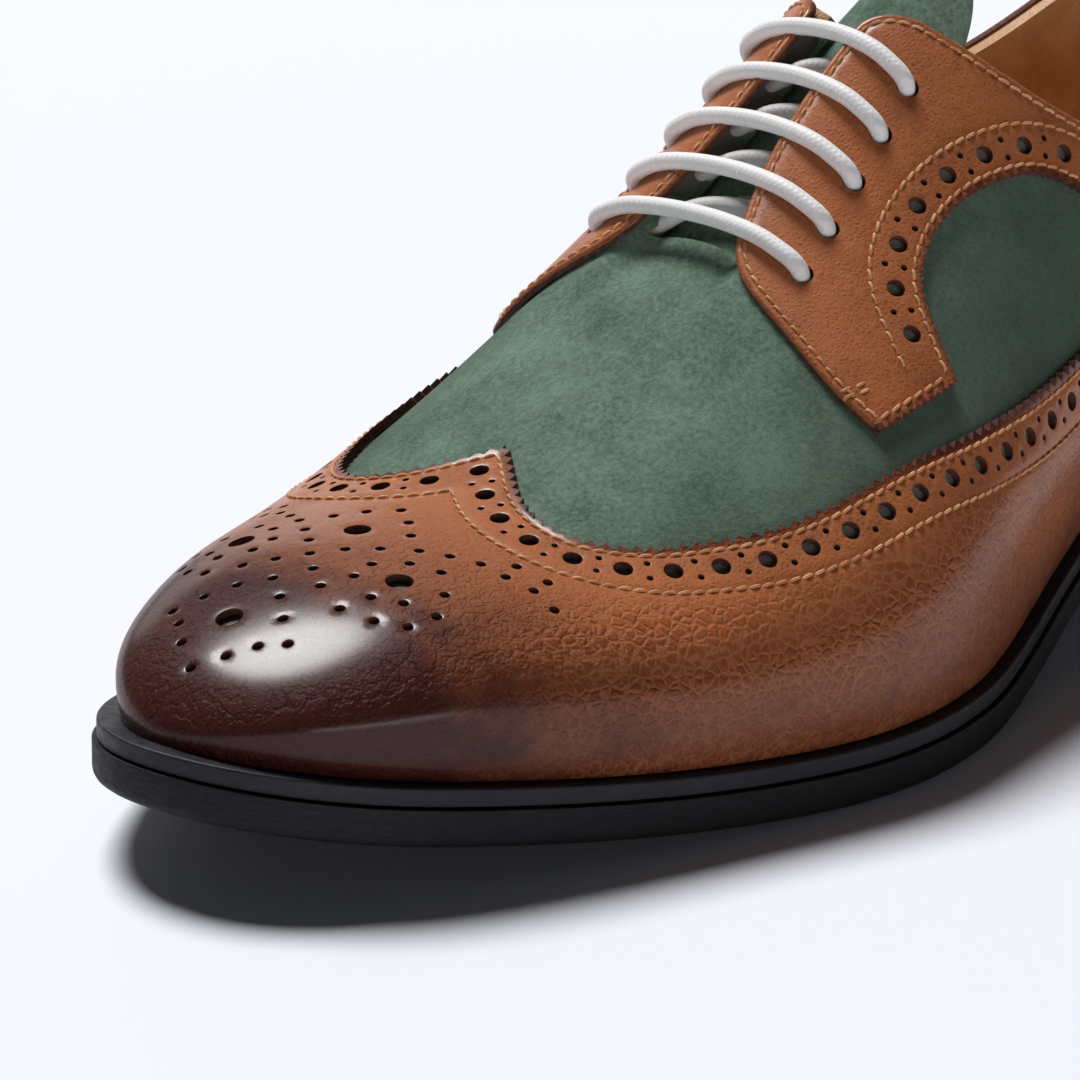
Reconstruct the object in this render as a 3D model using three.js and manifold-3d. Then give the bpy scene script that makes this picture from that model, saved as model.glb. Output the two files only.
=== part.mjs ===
// Left brogue shoe: a two-colour longwing derby, empty, standing on its sole.
// Millimetres, +Z up, +X to the toe, +Y to the wearer's left, which is the outer side.
import * as THREE from 'three';
import { mergeVertices } from 'three/addons/utils/BufferGeometryUtils.js';
import Module from 'manifold-3d';

const wasm = await Module();
wasm.setup();

// Sizes of the last, over which the upper is pulled
const UPPER_LENGTH = 291.5; // from the back of the heel to the tip of the toe
const BALL_WIDTH = 100; // width across the ball at the feather line
const LAST_HEIGHT = 100; // height of the last's comb over its feather line
const BACK_CURVE = 5; // how far the back leans in over half the counter's height
const BACK_FULLEST = 24; // height of the rearmost point over the feather line
const BACK_REACH = 38; // height over which the back leans in by BACK_CURVE

// Sizes of the bottom
const OUTSOLE_THICKNESS = 5.8;
const WELT_THICKNESS = 2.8;
const HEEL_LIFT = 20.2; // floor to the underside of the outsole at the heel
const TOP_PIECE = 6; // rubber lift under the heel block
const HEEL_TAPER = 1.4; // how far the heel draws in from its top to the floor
const TOE_SPRING = 13.3; // floor to the underside of the outsole at the toe
const LEDGE_TOE = 4.6; // how far the welt stands out from the upper
const LEDGE_SIDE = 3;
const LEDGE_HEEL = 2.2;
const OUTSOLE_LIP = 0.7; // how far the outsole stands out from the welt
const OUTSOLE_ROUND = 1.6; // rounding of the outsole's lower edge
const WELT_INWARD = 9; // how far the welt reaches in under the upper
const INSOLE_THICKNESS = 2.6;
const INSOLE_INSET = 4.6; // from the upper's outer face to the insole's edge

// Thicknesses of the leathers, and the places of their faces from the last's surface
const CLEARANCE = 0.3; // between pieces that touch
const UPPER_FACE = -0.8; // outer face of the upper
const UPPER_WALL = 2; // suede and lining together
const WING_THICKNESS = 1.3;
const FACING_THICKNESS = 1.4;
const STRIP_THICKNESS = 1;
const TONGUE_THICKNESS = 2;
const STRIP_WIDTH = 16; // back strip over the heel seam
const STRIP_DEPTH = 14; // how far the back strip reaches forward round the heel
const COLLAR_BAND = 13; // depth of the brown band under the topline
const WING_RISE = 32; // height of the wing's tail over the feather line
const SEAM_GAP = 0.02; // radians of plan angle left open at the back seam

// Lace and eyelets
const LACE_DIAMETER = 2.8;
const LACE_CLEARANCE = 0.5;
const LACE_BEND = 2.4; // radius of the lace's turn into an eyelet
const LACE_SIDE_RUN = 4.6; // from the left eyelets to the lace's hidden run beside them
const LACE_END = 6; // hidden end beyond the last eyelet
const EYELET_RADIUS = 2.1;
const EYELET_ROWS = 5;

// Divisions of the last's surface
const ROWS = 34; // from the toe to the heel
const COLUMNS = 20; // from the left feather line over the comb to the right one

// Sections of the last from heel to toe. at is a share of UPPER_LENGTH, crest a share of LAST_HEIGHT,
// widest the share of the crest at which the section is widest, and left, right, bulge and shift
// are shares of BALL_WIDTH. full fills the shoulders out or hollows them.
const SECTIONS = [
  { at: 0, left: 0, right: 0, bulge: 0, widest: 0.26, crest: 0.9, shift: 0, full: 0 },
  { at: 0.03, left: 0.167, right: 0.165, bulge: 0.012, widest: 0.26, crest: 0.952, shift: 0, full: 0 },
  { at: 0.1, left: 0.28, right: 0.276, bulge: 0.018, widest: 0.25, crest: 1.004, shift: 0, full: 0 },
  { at: 0.2, left: 0.323, right: 0.308, bulge: 0.02, widest: 0.24, crest: 1.027, shift: 0, full: -0.09 },
  { at: 0.3, left: 0.335, right: 0.285, bulge: 0.03, widest: 0.24, crest: 0.992, shift: 0, full: -0.18 },
  { at: 0.4, left: 0.365, right: 0.278, bulge: 0.035, widest: 0.24, crest: 0.92, shift: -0.01, full: -0.27 },
  { at: 0.47, left: 0.41, right: 0.304, bulge: 0.035, widest: 0.25, crest: 0.85, shift: -0.02, full: -0.27 },
  { at: 0.55, left: 0.481, right: 0.362, bulge: 0.025, widest: 0.26, crest: 0.726, shift: -0.03, full: -0.24 },
  { at: 0.64, left: 0.53, right: 0.425, bulge: 0.02, widest: 0.28, crest: 0.537, shift: -0.03, full: -0.16 },
  { at: 0.73, left: 0.49, right: 0.432, bulge: 0.02, widest: 0.32, crest: 0.375, shift: -0.02, full: -0.05 },
  { at: 0.81, left: 0.42, right: 0.374, bulge: 0.02, widest: 0.36, crest: 0.29, shift: -0.01, full: 0.05 },
  { at: 0.88, left: 0.341, right: 0.296, bulge: 0.02, widest: 0.4, crest: 0.246, shift: 0, full: 0.1 },
  { at: 0.945, left: 0.25, right: 0.208, bulge: 0.015, widest: 0.45, crest: 0.167, shift: 0, full: 0.05 },
  { at: 1, left: 0, right: 0, bulge: 0, widest: 0.5, crest: 0, shift: 0, full: 0.1 },
];
const SIDE_SHARE = 0.86; // share of each half girth that lies over the widest line

// The sole's rise, in shares of UPPER_LENGTH: waist from heel breast to ball, then the toe spring
const WAIST_FROM = 0.273;
const WAIST_TO = 0.586;
const SPRING_FROM = 0.669;
const SPRING_TO = 1.024;
const SPRING_POWER = 1.8;
const HEEL_BREAST = 0.262;
const BREAST_HOLLOW = 4; // how far the heel's front face is hollowed
const LEDGE_TOE_FROM = 0.8; // the welt's ledge widens from here to the toe
const LEDGE_HEEL_FROM = 0.4; // and narrows from here to the heel

// Topline in the side view: at is a share of UPPER_LENGTH, rise a share of LAST_HEIGHT over the seat
const TOPLINE = [
  { at: 0.0, rise: 0.63 },
  { at: 0.08, rise: 0.6 },
  { at: 0.17, rise: 0.51 },
  { at: 0.27, rise: 0.46 },
  { at: 0.35, rise: 0.477 },
  { at: 0.405, rise: 0.548 },
  { at: 0.44, rise: 0.632 },
  { at: 0.466, rise: 0.72 },
  { at: 0.5, rise: 0.84 },
];

// Outlines on the last: at is a share of UPPER_LENGTH, girth a share of the half girth from the
// comb (0) to the feather line (1). The right side mirrors the left one.
const WING_EDGE = [
  { at: 0.745, girth: 0.0 },
  { at: 0.76, girth: 0.055 },
  { at: 0.779, girth: 0.137 },
  { at: 0.787, girth: 0.22 },
  { at: 0.786, girth: 0.28 },
  { at: 0.779, girth: 0.331 },
  { at: 0.761, girth: 0.394 },
  { at: 0.738, girth: 0.437 },
  { at: 0.715, girth: 0.473 },
  { at: 0.69, girth: 0.5 },
  { at: 0.663, girth: 0.52 },
  { at: 0.63, girth: 0.543 },
  { at: 0.593, girth: 0.58 },
  { at: 0.551, girth: 0.627 },
  { at: 0.506, girth: 0.678 },
  { at: 0.455, girth: 0.722 },
];
const SWOOSH_EDGE = [
  { at: 0.418, girth: 0.528 },
  { at: 0.442, girth: 0.461 },
  { at: 0.469, girth: 0.414 },
  { at: 0.49, girth: 0.388 },
  { at: 0.514, girth: 0.372 },
  { at: 0.535, girth: 0.378 },
  { at: 0.547, girth: 0.4 },
  { at: 0.554, girth: 0.445 },
  { at: 0.561, girth: 0.528 },
];
const FACING_FRONT = [
  { at: 0.592, girth: 0.502 },
  { at: 0.622, girth: 0.477 },
  { at: 0.626, girth: 0.38 },
  { at: 0.623, girth: 0.295 },
  { at: 0.617, girth: 0.2 },
  { at: 0.611, girth: 0.15 },
];
const THROAT_EDGE = [
  { at: 0.602, girth: 0.118 },
  { at: 0.588, girth: 0.098 },
  { at: 0.56, girth: 0.074 },
  { at: 0.53, girth: 0.062 },
  { at: 0.49, girth: 0.062 },
  { at: 0.44, girth: 0.07 },
  { at: 0.38, girth: 0.08 },
];
const THROAT_SET_BACK = 0.01; // how far the upper's own edge lies behind the facings' edge
const TONGUE_EDGE = [
  { at: 0.655, girth: 0.14 },
  { at: 0.648, girth: 0.2 },
  { at: 0.63, girth: 0.25 },
  { at: 0.55, girth: 0.285 },
  { at: 0.47, girth: 0.31 },
  { at: 0.425, girth: 0.325 },
  { at: 0.41, girth: 0.29 },
  { at: 0.404, girth: 0.2 },
];
const TONGUE_DROP_FROM = 0.65; // the tongue sinks under the laces between these two sections
const TONGUE_DROP_TO = 0.612;
const FIRST_EYELET = { at: 0.593, girth: 0.236 };
const LAST_EYELET = { at: 0.487, girth: 0.212 };

const clamp = THREE.MathUtils.clamp;
const lerp = THREE.MathUtils.lerp;

// Natural cubic spline through the points (xs, ys)
function spline(xs, ys) {
  const count = xs.length;
  const upper = new Array(count).fill(0);
  const right = new Array(count).fill(0);
  const bend = new Array(count).fill(0);
  for (let i = 1; i < count - 1; i++) {
    const before = xs[i] - xs[i - 1];
    const after = xs[i + 1] - xs[i];
    const turn = 6 * ((ys[i + 1] - ys[i]) / after - (ys[i] - ys[i - 1]) / before);
    const pivot = 2 * (before + after) - before * upper[i - 1];
    upper[i] = after / pivot;
    right[i] = (turn - before * right[i - 1]) / pivot;
  }
  for (let i = count - 2; i > 0; i--) {
    bend[i] = right[i] - upper[i] * bend[i + 1];
  }
  return (x) => {
    let i = 0;
    while (i < count - 2 && x > xs[i + 1]) i++;
    const width = xs[i + 1] - xs[i];
    const a = (xs[i + 1] - x) / width;
    const b = (x - xs[i]) / width;
    const curve = ((a ** 3 - a) * bend[i] + (b ** 3 - b) * bend[i + 1]) * (width ** 2 / 6);
    return a * ys[i] + b * ys[i + 1] + curve;
  };
}

// A station along the last is an angle: 0 at the toe and PI at the heel, so that both ends are round
const angleAt = (at) => Math.acos(clamp(2 * at - 1, -1, 1));
const shareAt = (angle) => (1 + Math.cos(angle)) / 2;

const section = {};
for (const column of ['left', 'right', 'bulge', 'widest', 'crest', 'shift', 'full']) {
  const rows = [...SECTIONS].reverse();
  section[column] = spline(rows.map((row) => angleAt(row.at)), rows.map((row) => row[column]));
}

// Height of the outsole's underside over the floor
function soleHeight(x) {
  const at = x / UPPER_LENGTH;
  const spring = Math.max(0, (at - SPRING_FROM) / (SPRING_TO - SPRING_FROM));
  const waist = clamp((WAIST_TO - at) / (WAIST_TO - WAIST_FROM), 0, 1);
  return TOE_SPRING * spring ** SPRING_POWER + HEEL_LIFT * waist * waist * (3 - 2 * waist);
}

// Height of the feather line, where the upper meets the welt
const BOTTOM_THICKNESS = OUTSOLE_THICKNESS + WELT_THICKNESS + 2 * CLEARANCE;
const featherHeight = (x) => soleHeight(x) + BOTTOM_THICKNESS;
const SEAT_HEIGHT = HEEL_LIFT + BOTTOM_THICKNESS;

// Point of the last's surface. girth runs from 1 at the left feather line over 0 at the comb to -1.
function lastPoint(angle, girth) {
  const x = UPPER_LENGTH * shareAt(angle);
  const feather = featherHeight(x);
  const bulge = BALL_WIDTH * section.bulge(angle);
  const left = BALL_WIDTH * section.left(angle) + bulge;
  const right = BALL_WIDTH * section.right(angle) + bulge;
  const crest = LAST_HEIGHT * section.crest(angle);
  const widest = crest * section.widest(angle);
  const turn = (Math.PI / 2) * (1 - clamp(girth / SIDE_SHARE, -1, 1));
  const middle = (left - right) / 2;
  const across = Math.cos(turn);
  const up = Math.sin(turn);
  const down = clamp((Math.abs(girth) - SIDE_SHARE) / (1 - SIDE_SHARE), 0, 1);
  const comb = BALL_WIDTH * section.shift(angle) - middle;
  const side = Math.sign(girth) * bulge * down * down;
  const rise = (crest - widest) * (up + section.full(angle) * up * across * across);
  const height = widest * (1 - down) + rise;
  const rear = Math.max(0, 1 - 2 * shareAt(angle)) ** 3;
  const lean = BACK_CURVE * ((height - BACK_FULLEST) / BACK_REACH) ** 2 * rear;
  const y = middle + ((left + right) / 2) * across + comb * up * up - side;
  return new THREE.Vector3(x + lean, y, feather + height);
}

// Outward normal of the last's surface, level at the feather line
function lastNormal(angle, girth) {
  if (angle < 1e-6) return new THREE.Vector3(1, 0, 0);
  const step = 1e-3;
  const inside = Math.min(angle, Math.PI - 2 * step);
  const along = lastPoint(inside + step, girth).sub(lastPoint(inside - step, girth));
  const highGirth = Math.min(girth + step, 1);
  const lowGirth = Math.max(girth - step, -1);
  const around = lastPoint(inside, highGirth).sub(lastPoint(inside, lowGirth));
  const normal = around.cross(along);
  if (angle > Math.PI - 1e-6) {
    const low = lastPoint(angle, 0.95 * Math.max(Math.abs(girth), 0.3));
    const high = lastPoint(angle, 0.9 * Math.max(Math.abs(girth), 0.3));
    normal.set(low.z - high.z, 0, high.x - low.x);
  }
  const down = clamp((Math.abs(girth) - SIDE_SHARE) / (1 - SIDE_SHARE), 0, 1);
  normal.normalize();
  normal.z *= 1 - down;
  return normal.normalize();
}

// The last's surface as a net of nodes, each with its place and normal
const nodes = [];
for (let row = 0; row <= ROWS; row++) {
  const angle = (Math.PI * row) / ROWS;
  nodes.push([]);
  for (let column = 0; column <= COLUMNS; column++) {
    const girth = 1 - (2 * column) / COLUMNS;
    nodes[row].push({ place: lastPoint(angle, girth), normal: lastNormal(angle, girth) });
  }
}
const nodePoint = (row, column, offset) => {
  const node = nodes[row][column];
  return node.place.clone().addScaledVector(node.normal, offset);
};

// Point at an offset from the net's own facets, so that pieces laid over each other stay parallel
function onNet(rowPlace, columnPlace, offset) {
  const row = clamp(Math.floor(rowPlace), 0, ROWS - 1);
  const column = clamp(Math.floor(columnPlace), 0, COLUMNS - 1);
  const a = rowPlace - row;
  const b = columnPlace - column;
  const near = nodePoint(row, column, offset);
  const far = nodePoint(row + 1, column + 1, offset);
  const side = a >= b ? nodePoint(row + 1, column, offset) : nodePoint(row, column + 1, offset);
  const first = Math.max(a, b);
  const second = Math.min(a, b);
  return near.multiplyScalar(1 - first).addScaledVector(side, first - second).addScaledVector(far, second);
}
const rowOf = (angle) => (angle / Math.PI) * ROWS;
const columnOf = (girth) => ((1 - girth) / 2) * COLUMNS;
const onLast = (at, girth, offset) => onNet(rowOf(angleAt(at)), columnOf(girth), offset);

// Share of the half girth at which one side of the last reaches a height over the floor
function girthAtHeight(angle, side, height) {
  let low = 0;
  let high = SIDE_SHARE;
  for (let turn = 0; turn < 30; turn++) {
    const middle = (low + high) / 2;
    if (lastPoint(angle, side * middle).z > height) low = middle;
    else high = middle;
  }
  return (low + high) / 2;
}

// Geometry from points and triangles, with its shared points merged and empty triangles dropped
function meshGeometry(points, triangles) {
  const loose = new THREE.BufferGeometry().setFromPoints(points);
  loose.setIndex(triangles);
  const merged = mergeVertices(loose);
  const index = Array.from(merged.index.array);
  const kept = [];
  for (let i = 0; i < index.length; i += 3) {
    const [a, b, c] = index.slice(i, i + 3);
    if (a !== b && b !== c && c !== a) kept.push(a, b, c);
  }
  merged.setIndex(kept);
  return merged;
}

function solidOf(geometry) {
  const bare = geometry.clone();
  bare.deleteAttribute('normal');
  bare.deleteAttribute('uv');
  const merged = mergeVertices(bare);
  return new wasm.Manifold(
    new wasm.Mesh({
      numProp: 3,
      vertProperties: new Float32Array(merged.attributes.position.array),
      triVerts: new Uint32Array(merged.index.array),
    }),
  );
}

function geometryOf(solid) {
  const mesh = solid.getMesh();
  const geometry = new THREE.BufferGeometry();
  geometry.setAttribute('position', new THREE.BufferAttribute(new Float32Array(mesh.vertProperties), 3));
  geometry.setIndex(Array.from(mesh.triVerts));
  return geometry;
}

function quad(triangles, a, b, c, d) {
  triangles.push(a, b, c, a, c, d);
}

// Closed solid of the last grown by an offset, with its foot lengthened downwards by a skirt
function lastForm(offset, skirt) {
  const points = [];
  const triangles = [];
  const width = COLUMNS + 3;
  for (let row = 0; row <= ROWS; row++) {
    for (let column = -1; column <= COLUMNS + 1; column++) {
      const point = nodePoint(row, clamp(column, 0, COLUMNS), offset);
      if (column < 0 || column > COLUMNS) point.z -= skirt;
      points.push(point);
    }
  }
  for (let row = 0; row < ROWS; row++) {
    const start = row * width;
    for (let k = 0; k < width - 1; k++) {
      quad(triangles, start + k, start + width + k, start + width + k + 1, start + k + 1);
    }
    quad(triangles, start + width - 1, start + 2 * width - 1, start + width, start);
  }
  return solidOf(meshGeometry(points, triangles));
}

// Piece laid on the last: its outline is a closed list of { angle, girth }, and its two faces lie at
// the offsets low(at) and high(at). The outline cuts a flat slab of the net, which is then wrapped.
function panel(outline, low, high) {
  const thickness = 4;
  // A slight dish keeps the net's own points in the flat slab when it is cut
  const dish = 0.004;
  const twist = 0.7;
  const rise = (a, b) => dish * (a * a + b * b + twist * a * b);
  const points = [];
  const triangles = [];
  const width = COLUMNS + 1;
  const layer = width * (ROWS + 1);
  for (const level of [0, thickness]) {
    for (let row = 0; row <= ROWS; row++) {
      for (let column = 0; column <= COLUMNS; column++) {
        points.push(new THREE.Vector3(row, column, level + rise(row, column)));
      }
    }
  }
  for (let row = 0; row < ROWS; row++) {
    for (let column = 0; column < COLUMNS; column++) {
      const a = row * width + column;
      const b = a + width;
      triangles.push(layer + a, layer + b, layer + b + 1, layer + a, layer + b + 1, layer + a + 1);
      triangles.push(a, b + 1, b, a, a + 1, b + 1);
    }
    const left = row * width;
    const right = left + COLUMNS;
    quad(triangles, left, left + width, layer + left + width, layer + left);
    quad(triangles, right + width, right, layer + right, layer + right + width);
  }
  for (let column = 0; column < COLUMNS; column++) {
    const back = ROWS * width + column;
    quad(triangles, column + 1, column, layer + column, layer + column + 1);
    quad(triangles, back, back + 1, layer + back + 1, layer + back);
  }
  const slab = solidOf(meshGeometry(points, triangles));
  const shape = new THREE.Shape(outline.map((p) => new THREE.Vector2(rowOf(p.angle), columnOf(p.girth))));
  const tall = rise(ROWS, COLUMNS) + 4 * thickness;
  const cutter = new THREE.ExtrudeGeometry(shape, { depth: tall, bevelEnabled: false, steps: 1 });
  cutter.translate(0, 0, -thickness);
  const flat = geometryOf(slab.intersect(solidOf(cutter)));
  const places = flat.attributes.position;
  const wrapped = [];
  for (let i = 0; i < places.count; i++) {
    const row = places.getX(i);
    const column = places.getY(i);
    const at = shareAt((clamp(row, 0, ROWS) * Math.PI) / ROWS);
    const isTop = places.getZ(i) - rise(row, column) > thickness / 2;
    wrapped.push(onNet(row, column, isTop ? high(at) : low(at)));
  }
  return solidOf(meshGeometry(wrapped, Array.from(flat.index.array)));
}

const toOutline = (rows, side) => rows.map((row) => ({ angle: angleAt(row.at), girth: side * row.girth }));

// Smooth points along one side where the last reaches the height heightAt(at)
function levelEdge(side, fromAt, toAt, count, heightAt) {
  const edge = [];
  for (let i = 0; i <= count; i++) {
    const angle = lerp(angleAt(fromAt), angleAt(toAt), i / count);
    const kept = Math.min(angle, Math.PI - SEAM_GAP);
    edge.push({ angle: kept, girth: side * girthAtHeight(kept, side, heightAt(shareAt(kept))) });
  }
  return edge;
}

// Topline: everything over this side-view curve is cut away
const toplineRise = spline(TOPLINE.map((row) => row.at), TOPLINE.map((row) => row.rise));
const toplineHeight = (at) => SEAT_HEIGHT + LAST_HEIGHT * toplineRise(at);

function toplineCutter() {
  const reach = 2 * LAST_HEIGHT;
  const behind = -0.1 * UPPER_LENGTH;
  const endAt = TOPLINE[TOPLINE.length - 1].at;
  const outline = [new THREE.Vector2(behind, toplineHeight(0))];
  const count = 24;
  for (let i = 0; i <= count; i++) {
    const at = (endAt * i) / count;
    outline.push(new THREE.Vector2(at * UPPER_LENGTH, toplineHeight(at)));
  }
  outline.push(new THREE.Vector2(endAt * UPPER_LENGTH, reach));
  outline.push(new THREE.Vector2(behind, reach));
  const depth = 2 * BALL_WIDTH;
  const cutter = new THREE.ExtrudeGeometry(new THREE.Shape(outline), { depth, bevelEnabled: false });
  cutter.translate(0, 0, -depth / 2);
  cutter.rotateX(Math.PI / 2);
  return solidOf(cutter);
}
const aboveTopline = toplineCutter();

// Eyelets: five pairs, spaced evenly up the facings
function eyelet(row, side) {
  const share = row / (EYELET_ROWS - 1);
  const at = lerp(FIRST_EYELET.at, LAST_EYELET.at, share);
  const girth = side * lerp(FIRST_EYELET.girth, LAST_EYELET.girth, share);
  const place = onLast(at, girth, 0);
  const normal = onLast(at, girth, 1).sub(place).normalize();
  return { at, girth, place, normal };
}

function eyeletCutters(sides) {
  const length = 3 * (UPPER_WALL + FACING_THICKNESS);
  const cutters = [];
  for (let row = 0; row < EYELET_ROWS; row++) {
    for (const side of sides) {
      const { place, normal } = eyelet(row, side);
      const hole = new THREE.CylinderGeometry(EYELET_RADIUS, EYELET_RADIUS, length, 8);
      const turn = new THREE.Quaternion().setFromUnitVectors(new THREE.Vector3(0, 1, 0), normal);
      hole.applyQuaternion(turn);
      hole.translate(place.x, place.y, place.z);
      cutters.push(solidOf(hole));
    }
  }
  return cutters;
}

// Upper: one hollow wall, open underneath, at the collar and along the throat
function throatOutline() {
  const edge = THROAT_EDGE.map((row) => ({ at: row.at - THROAT_SET_BACK / 2, girth: row.girth + THROAT_SET_BACK }));
  const left = toOutline(edge, 1);
  const right = toOutline(edge, -1).reverse();
  return [...left, ...right];
}

function upperSolid() {
  const inner = UPPER_FACE - UPPER_WALL;
  const skirt = 2 * BOTTOM_THICKNESS;
  const throat = panel(throatOutline(), () => inner - 2 * UPPER_WALL, () => 2 * UPPER_WALL);
  let wall = lastForm(UPPER_FACE, 0).subtract(lastForm(inner, skirt));
  wall = wall.subtract(aboveTopline).subtract(throat);
  for (const hole of eyeletCutters([1, -1])) wall = wall.subtract(hole);
  return wall;
}

// Wing: the winged toe cap, whose tails run along both sides to the back seam
const overlayLow = UPPER_FACE + CLEARANCE;

function wingSolid() {
  const rise = (at) => featherHeight(at * UPPER_LENGTH) + WING_RISE;
  const tail = (side) => levelEdge(side, 0.4, 0, 10, rise);
  const left = [...toOutline(WING_EDGE, 1), ...tail(1)];
  const right = [...toOutline(WING_EDGE.slice(1), -1), ...tail(-1)].reverse();
  const seam = Math.PI - SEAM_GAP;
  const beyond = 1.2;
  const outline = [
    ...left,
    { angle: seam, girth: beyond },
    { angle: -beyond, girth: beyond },
    { angle: -beyond, girth: -beyond },
    { angle: seam, girth: -beyond },
    ...right,
  ];
  return panel(outline, () => overlayLow, () => overlayLow + WING_THICKNESS);
}

// Facing: the eyelet panel of one quarter, with its tab, its sweep and its band under the topline
function facingSolid(side) {
  const bandHeight = (at) => toplineHeight(at) - COLLAR_BAND;
  const band = levelEdge(side, 0.4, 0, 12, bandHeight).reverse();
  const outline = [
    ...band,
    ...toOutline(SWOOSH_EDGE, side),
    ...toOutline(FACING_FRONT, side),
    ...toOutline(THROAT_EDGE, side),
    { angle: Math.PI - SEAM_GAP, girth: side * THROAT_EDGE[THROAT_EDGE.length - 1].girth },
  ];
  let leather = panel(outline, () => overlayLow, () => overlayLow + FACING_THICKNESS);
  leather = leather.subtract(aboveTopline);
  for (const hole of eyeletCutters([side])) leather = leather.subtract(hole);
  return leather;
}

// Back strip: covers the seam at the heel from the feather line to the topline
function backStripSolid() {
  const low = overlayLow + FACING_THICKNESS + CLEARANCE;
  const reach = 2 * LAST_HEIGHT;
  const zone = new THREE.BoxGeometry(2 * STRIP_DEPTH, STRIP_WIDTH, reach);
  const shell = lastForm(low + STRIP_THICKNESS, 0).subtract(lastForm(low, 2 * BOTTOM_THICKNESS));
  return shell.intersect(solidOf(zone)).subtract(aboveTopline);
}

// Tongue: joins the vamp ahead of the throat, runs under the laces and ends over the topline
const underUpper = UPPER_FACE - UPPER_WALL;
const laceUnder = underUpper - LACE_CLEARANCE - LACE_DIAMETER / 2;

function tongueSolid() {
  const shallow = underUpper - CLEARANCE;
  const deep = laceUnder - LACE_DIAMETER / 2 - LACE_CLEARANCE;
  const top = (at) => {
    const share = clamp((TONGUE_DROP_FROM - at) / (TONGUE_DROP_FROM - TONGUE_DROP_TO), 0, 1);
    return lerp(shallow, deep, share);
  };
  const outline = [...toOutline(TONGUE_EDGE, 1), ...toOutline(TONGUE_EDGE, -1).reverse()];
  return panel(outline, (at) => top(at) - TONGUE_THICKNESS, top);
}

// Lace: one cord. Its hidden run goes from under the top left eyelet down to the first one, and from
// there it makes five bars, each joined to the next by a slanted crossing under the facings.
const laceOver = overlayLow + FACING_THICKNESS + LACE_CLEARANCE + LACE_DIAMETER / 2;

function eyeletTurn({ place, normal }, above, below) {
  const level = (direction) => direction.addScaledVector(normal, -direction.dot(normal)).normalize();
  const over = level(above.clone().sub(place));
  const under = level(below.clone().sub(place));
  const turn = [];
  const steps = 2;
  for (let i = steps; i >= 0; i--) {
    const angle = ((Math.PI / 2) * i) / steps;
    const height = laceOver - LACE_BEND * (1 - Math.sin(angle));
    const out = LACE_BEND * (1 - Math.cos(angle));
    turn.push(place.clone().addScaledVector(normal, height).addScaledVector(over, out));
  }
  for (let i = 0; i <= steps; i++) {
    const angle = ((Math.PI / 2) * i) / steps;
    const height = laceUnder + LACE_BEND * (1 - Math.sin(angle));
    const out = LACE_BEND * (1 - Math.cos(angle));
    turn.push(place.clone().addScaledVector(normal, height).addScaledVector(under, out));
  }
  return turn;
}

// Points between two eyelets at one offset from the last, ends left out
function laceSpan(from, to, offset, count, margin) {
  const span = [];
  for (let i = 0; i <= count; i++) {
    const share = lerp(margin, 1 - margin, i / count);
    span.push(onLast(lerp(from.at, to.at, share), lerp(from.girth, to.girth, share), offset));
  }
  return span;
}

function laceRoute() {
  const route = [];
  const spanMargin = 0.15;
  const spanCount = 5;
  const girthStep = 0.05;
  const left = [];
  const right = [];
  for (let row = 0; row < EYELET_ROWS; row++) {
    left.push(eyelet(row, 1));
    right.push(eyelet(row, -1));
  }
  const stepped = onLast(left[0].at, left[0].girth + girthStep, 0);
  const sideways = stepped.sub(left[0].place).length() / girthStep;
  const beside = LACE_SIDE_RUN / sideways;
  for (let row = EYELET_ROWS - 1; row > 0; row--) {
    route.push(onLast(left[row].at, left[row].girth + beside, laceUnder));
    const between = (left[row].at + left[row - 1].at) / 2;
    route.push(onLast(between, left[row].girth + beside, laceUnder));
  }
  let arrival = route[route.length - 1];
  for (let row = 0; row < EYELET_ROWS; row++) {
    const bar = laceSpan(left[row], right[row], laceOver, spanCount, spanMargin);
    route.push(...eyeletTurn(left[row], bar[0], arrival).reverse());
    route.push(...bar);
    const isLast = row === EYELET_ROWS - 1;
    const onward = isLast ? null : laceSpan(right[row], left[row + 1], laceUnder, spanCount, spanMargin);
    const tail = (LACE_BEND + LACE_END) / sideways;
    const outward = onLast(right[row].at, right[row].girth - tail, laceUnder);
    route.push(...eyeletTurn(right[row], bar[bar.length - 1], isLast ? outward : onward[0]));
    if (isLast) {
      route.push(outward);
    } else {
      route.push(...onward);
      arrival = onward[onward.length - 1];
    }
  }
  return route;
}

function laceGeometry() {
  const points = laceRoute();
  const path = new THREE.CatmullRomCurve3(points, false, 'centripetal');
  path.getUtoTmapping = (share) => share;
  const sides = 8;
  const ring = [];
  for (let i = 0; i < sides; i++) {
    const angle = (2 * Math.PI * i) / sides;
    ring.push(new THREE.Vector2(Math.cos(angle), Math.sin(angle)).multiplyScalar(LACE_DIAMETER / 2));
  }
  const settings = { steps: points.length - 1, extrudePath: path, curveSegments: 1 };
  return new THREE.ExtrudeGeometry(new THREE.Shape(ring), settings);
}

// Bottom pieces follow the feather line seen from above, moved outwards
function ledge(at) {
  const toe = clamp((at - LEDGE_TOE_FROM) / (1 - LEDGE_TOE_FROM), 0, 1) ** 2;
  const heel = clamp((LEDGE_HEEL_FROM - at) / LEDGE_HEEL_FROM, 0, 1);
  return LEDGE_SIDE + (LEDGE_TOE - LEDGE_SIDE) * toe + (LEDGE_HEEL - LEDGE_SIDE) * heel;
}

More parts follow.
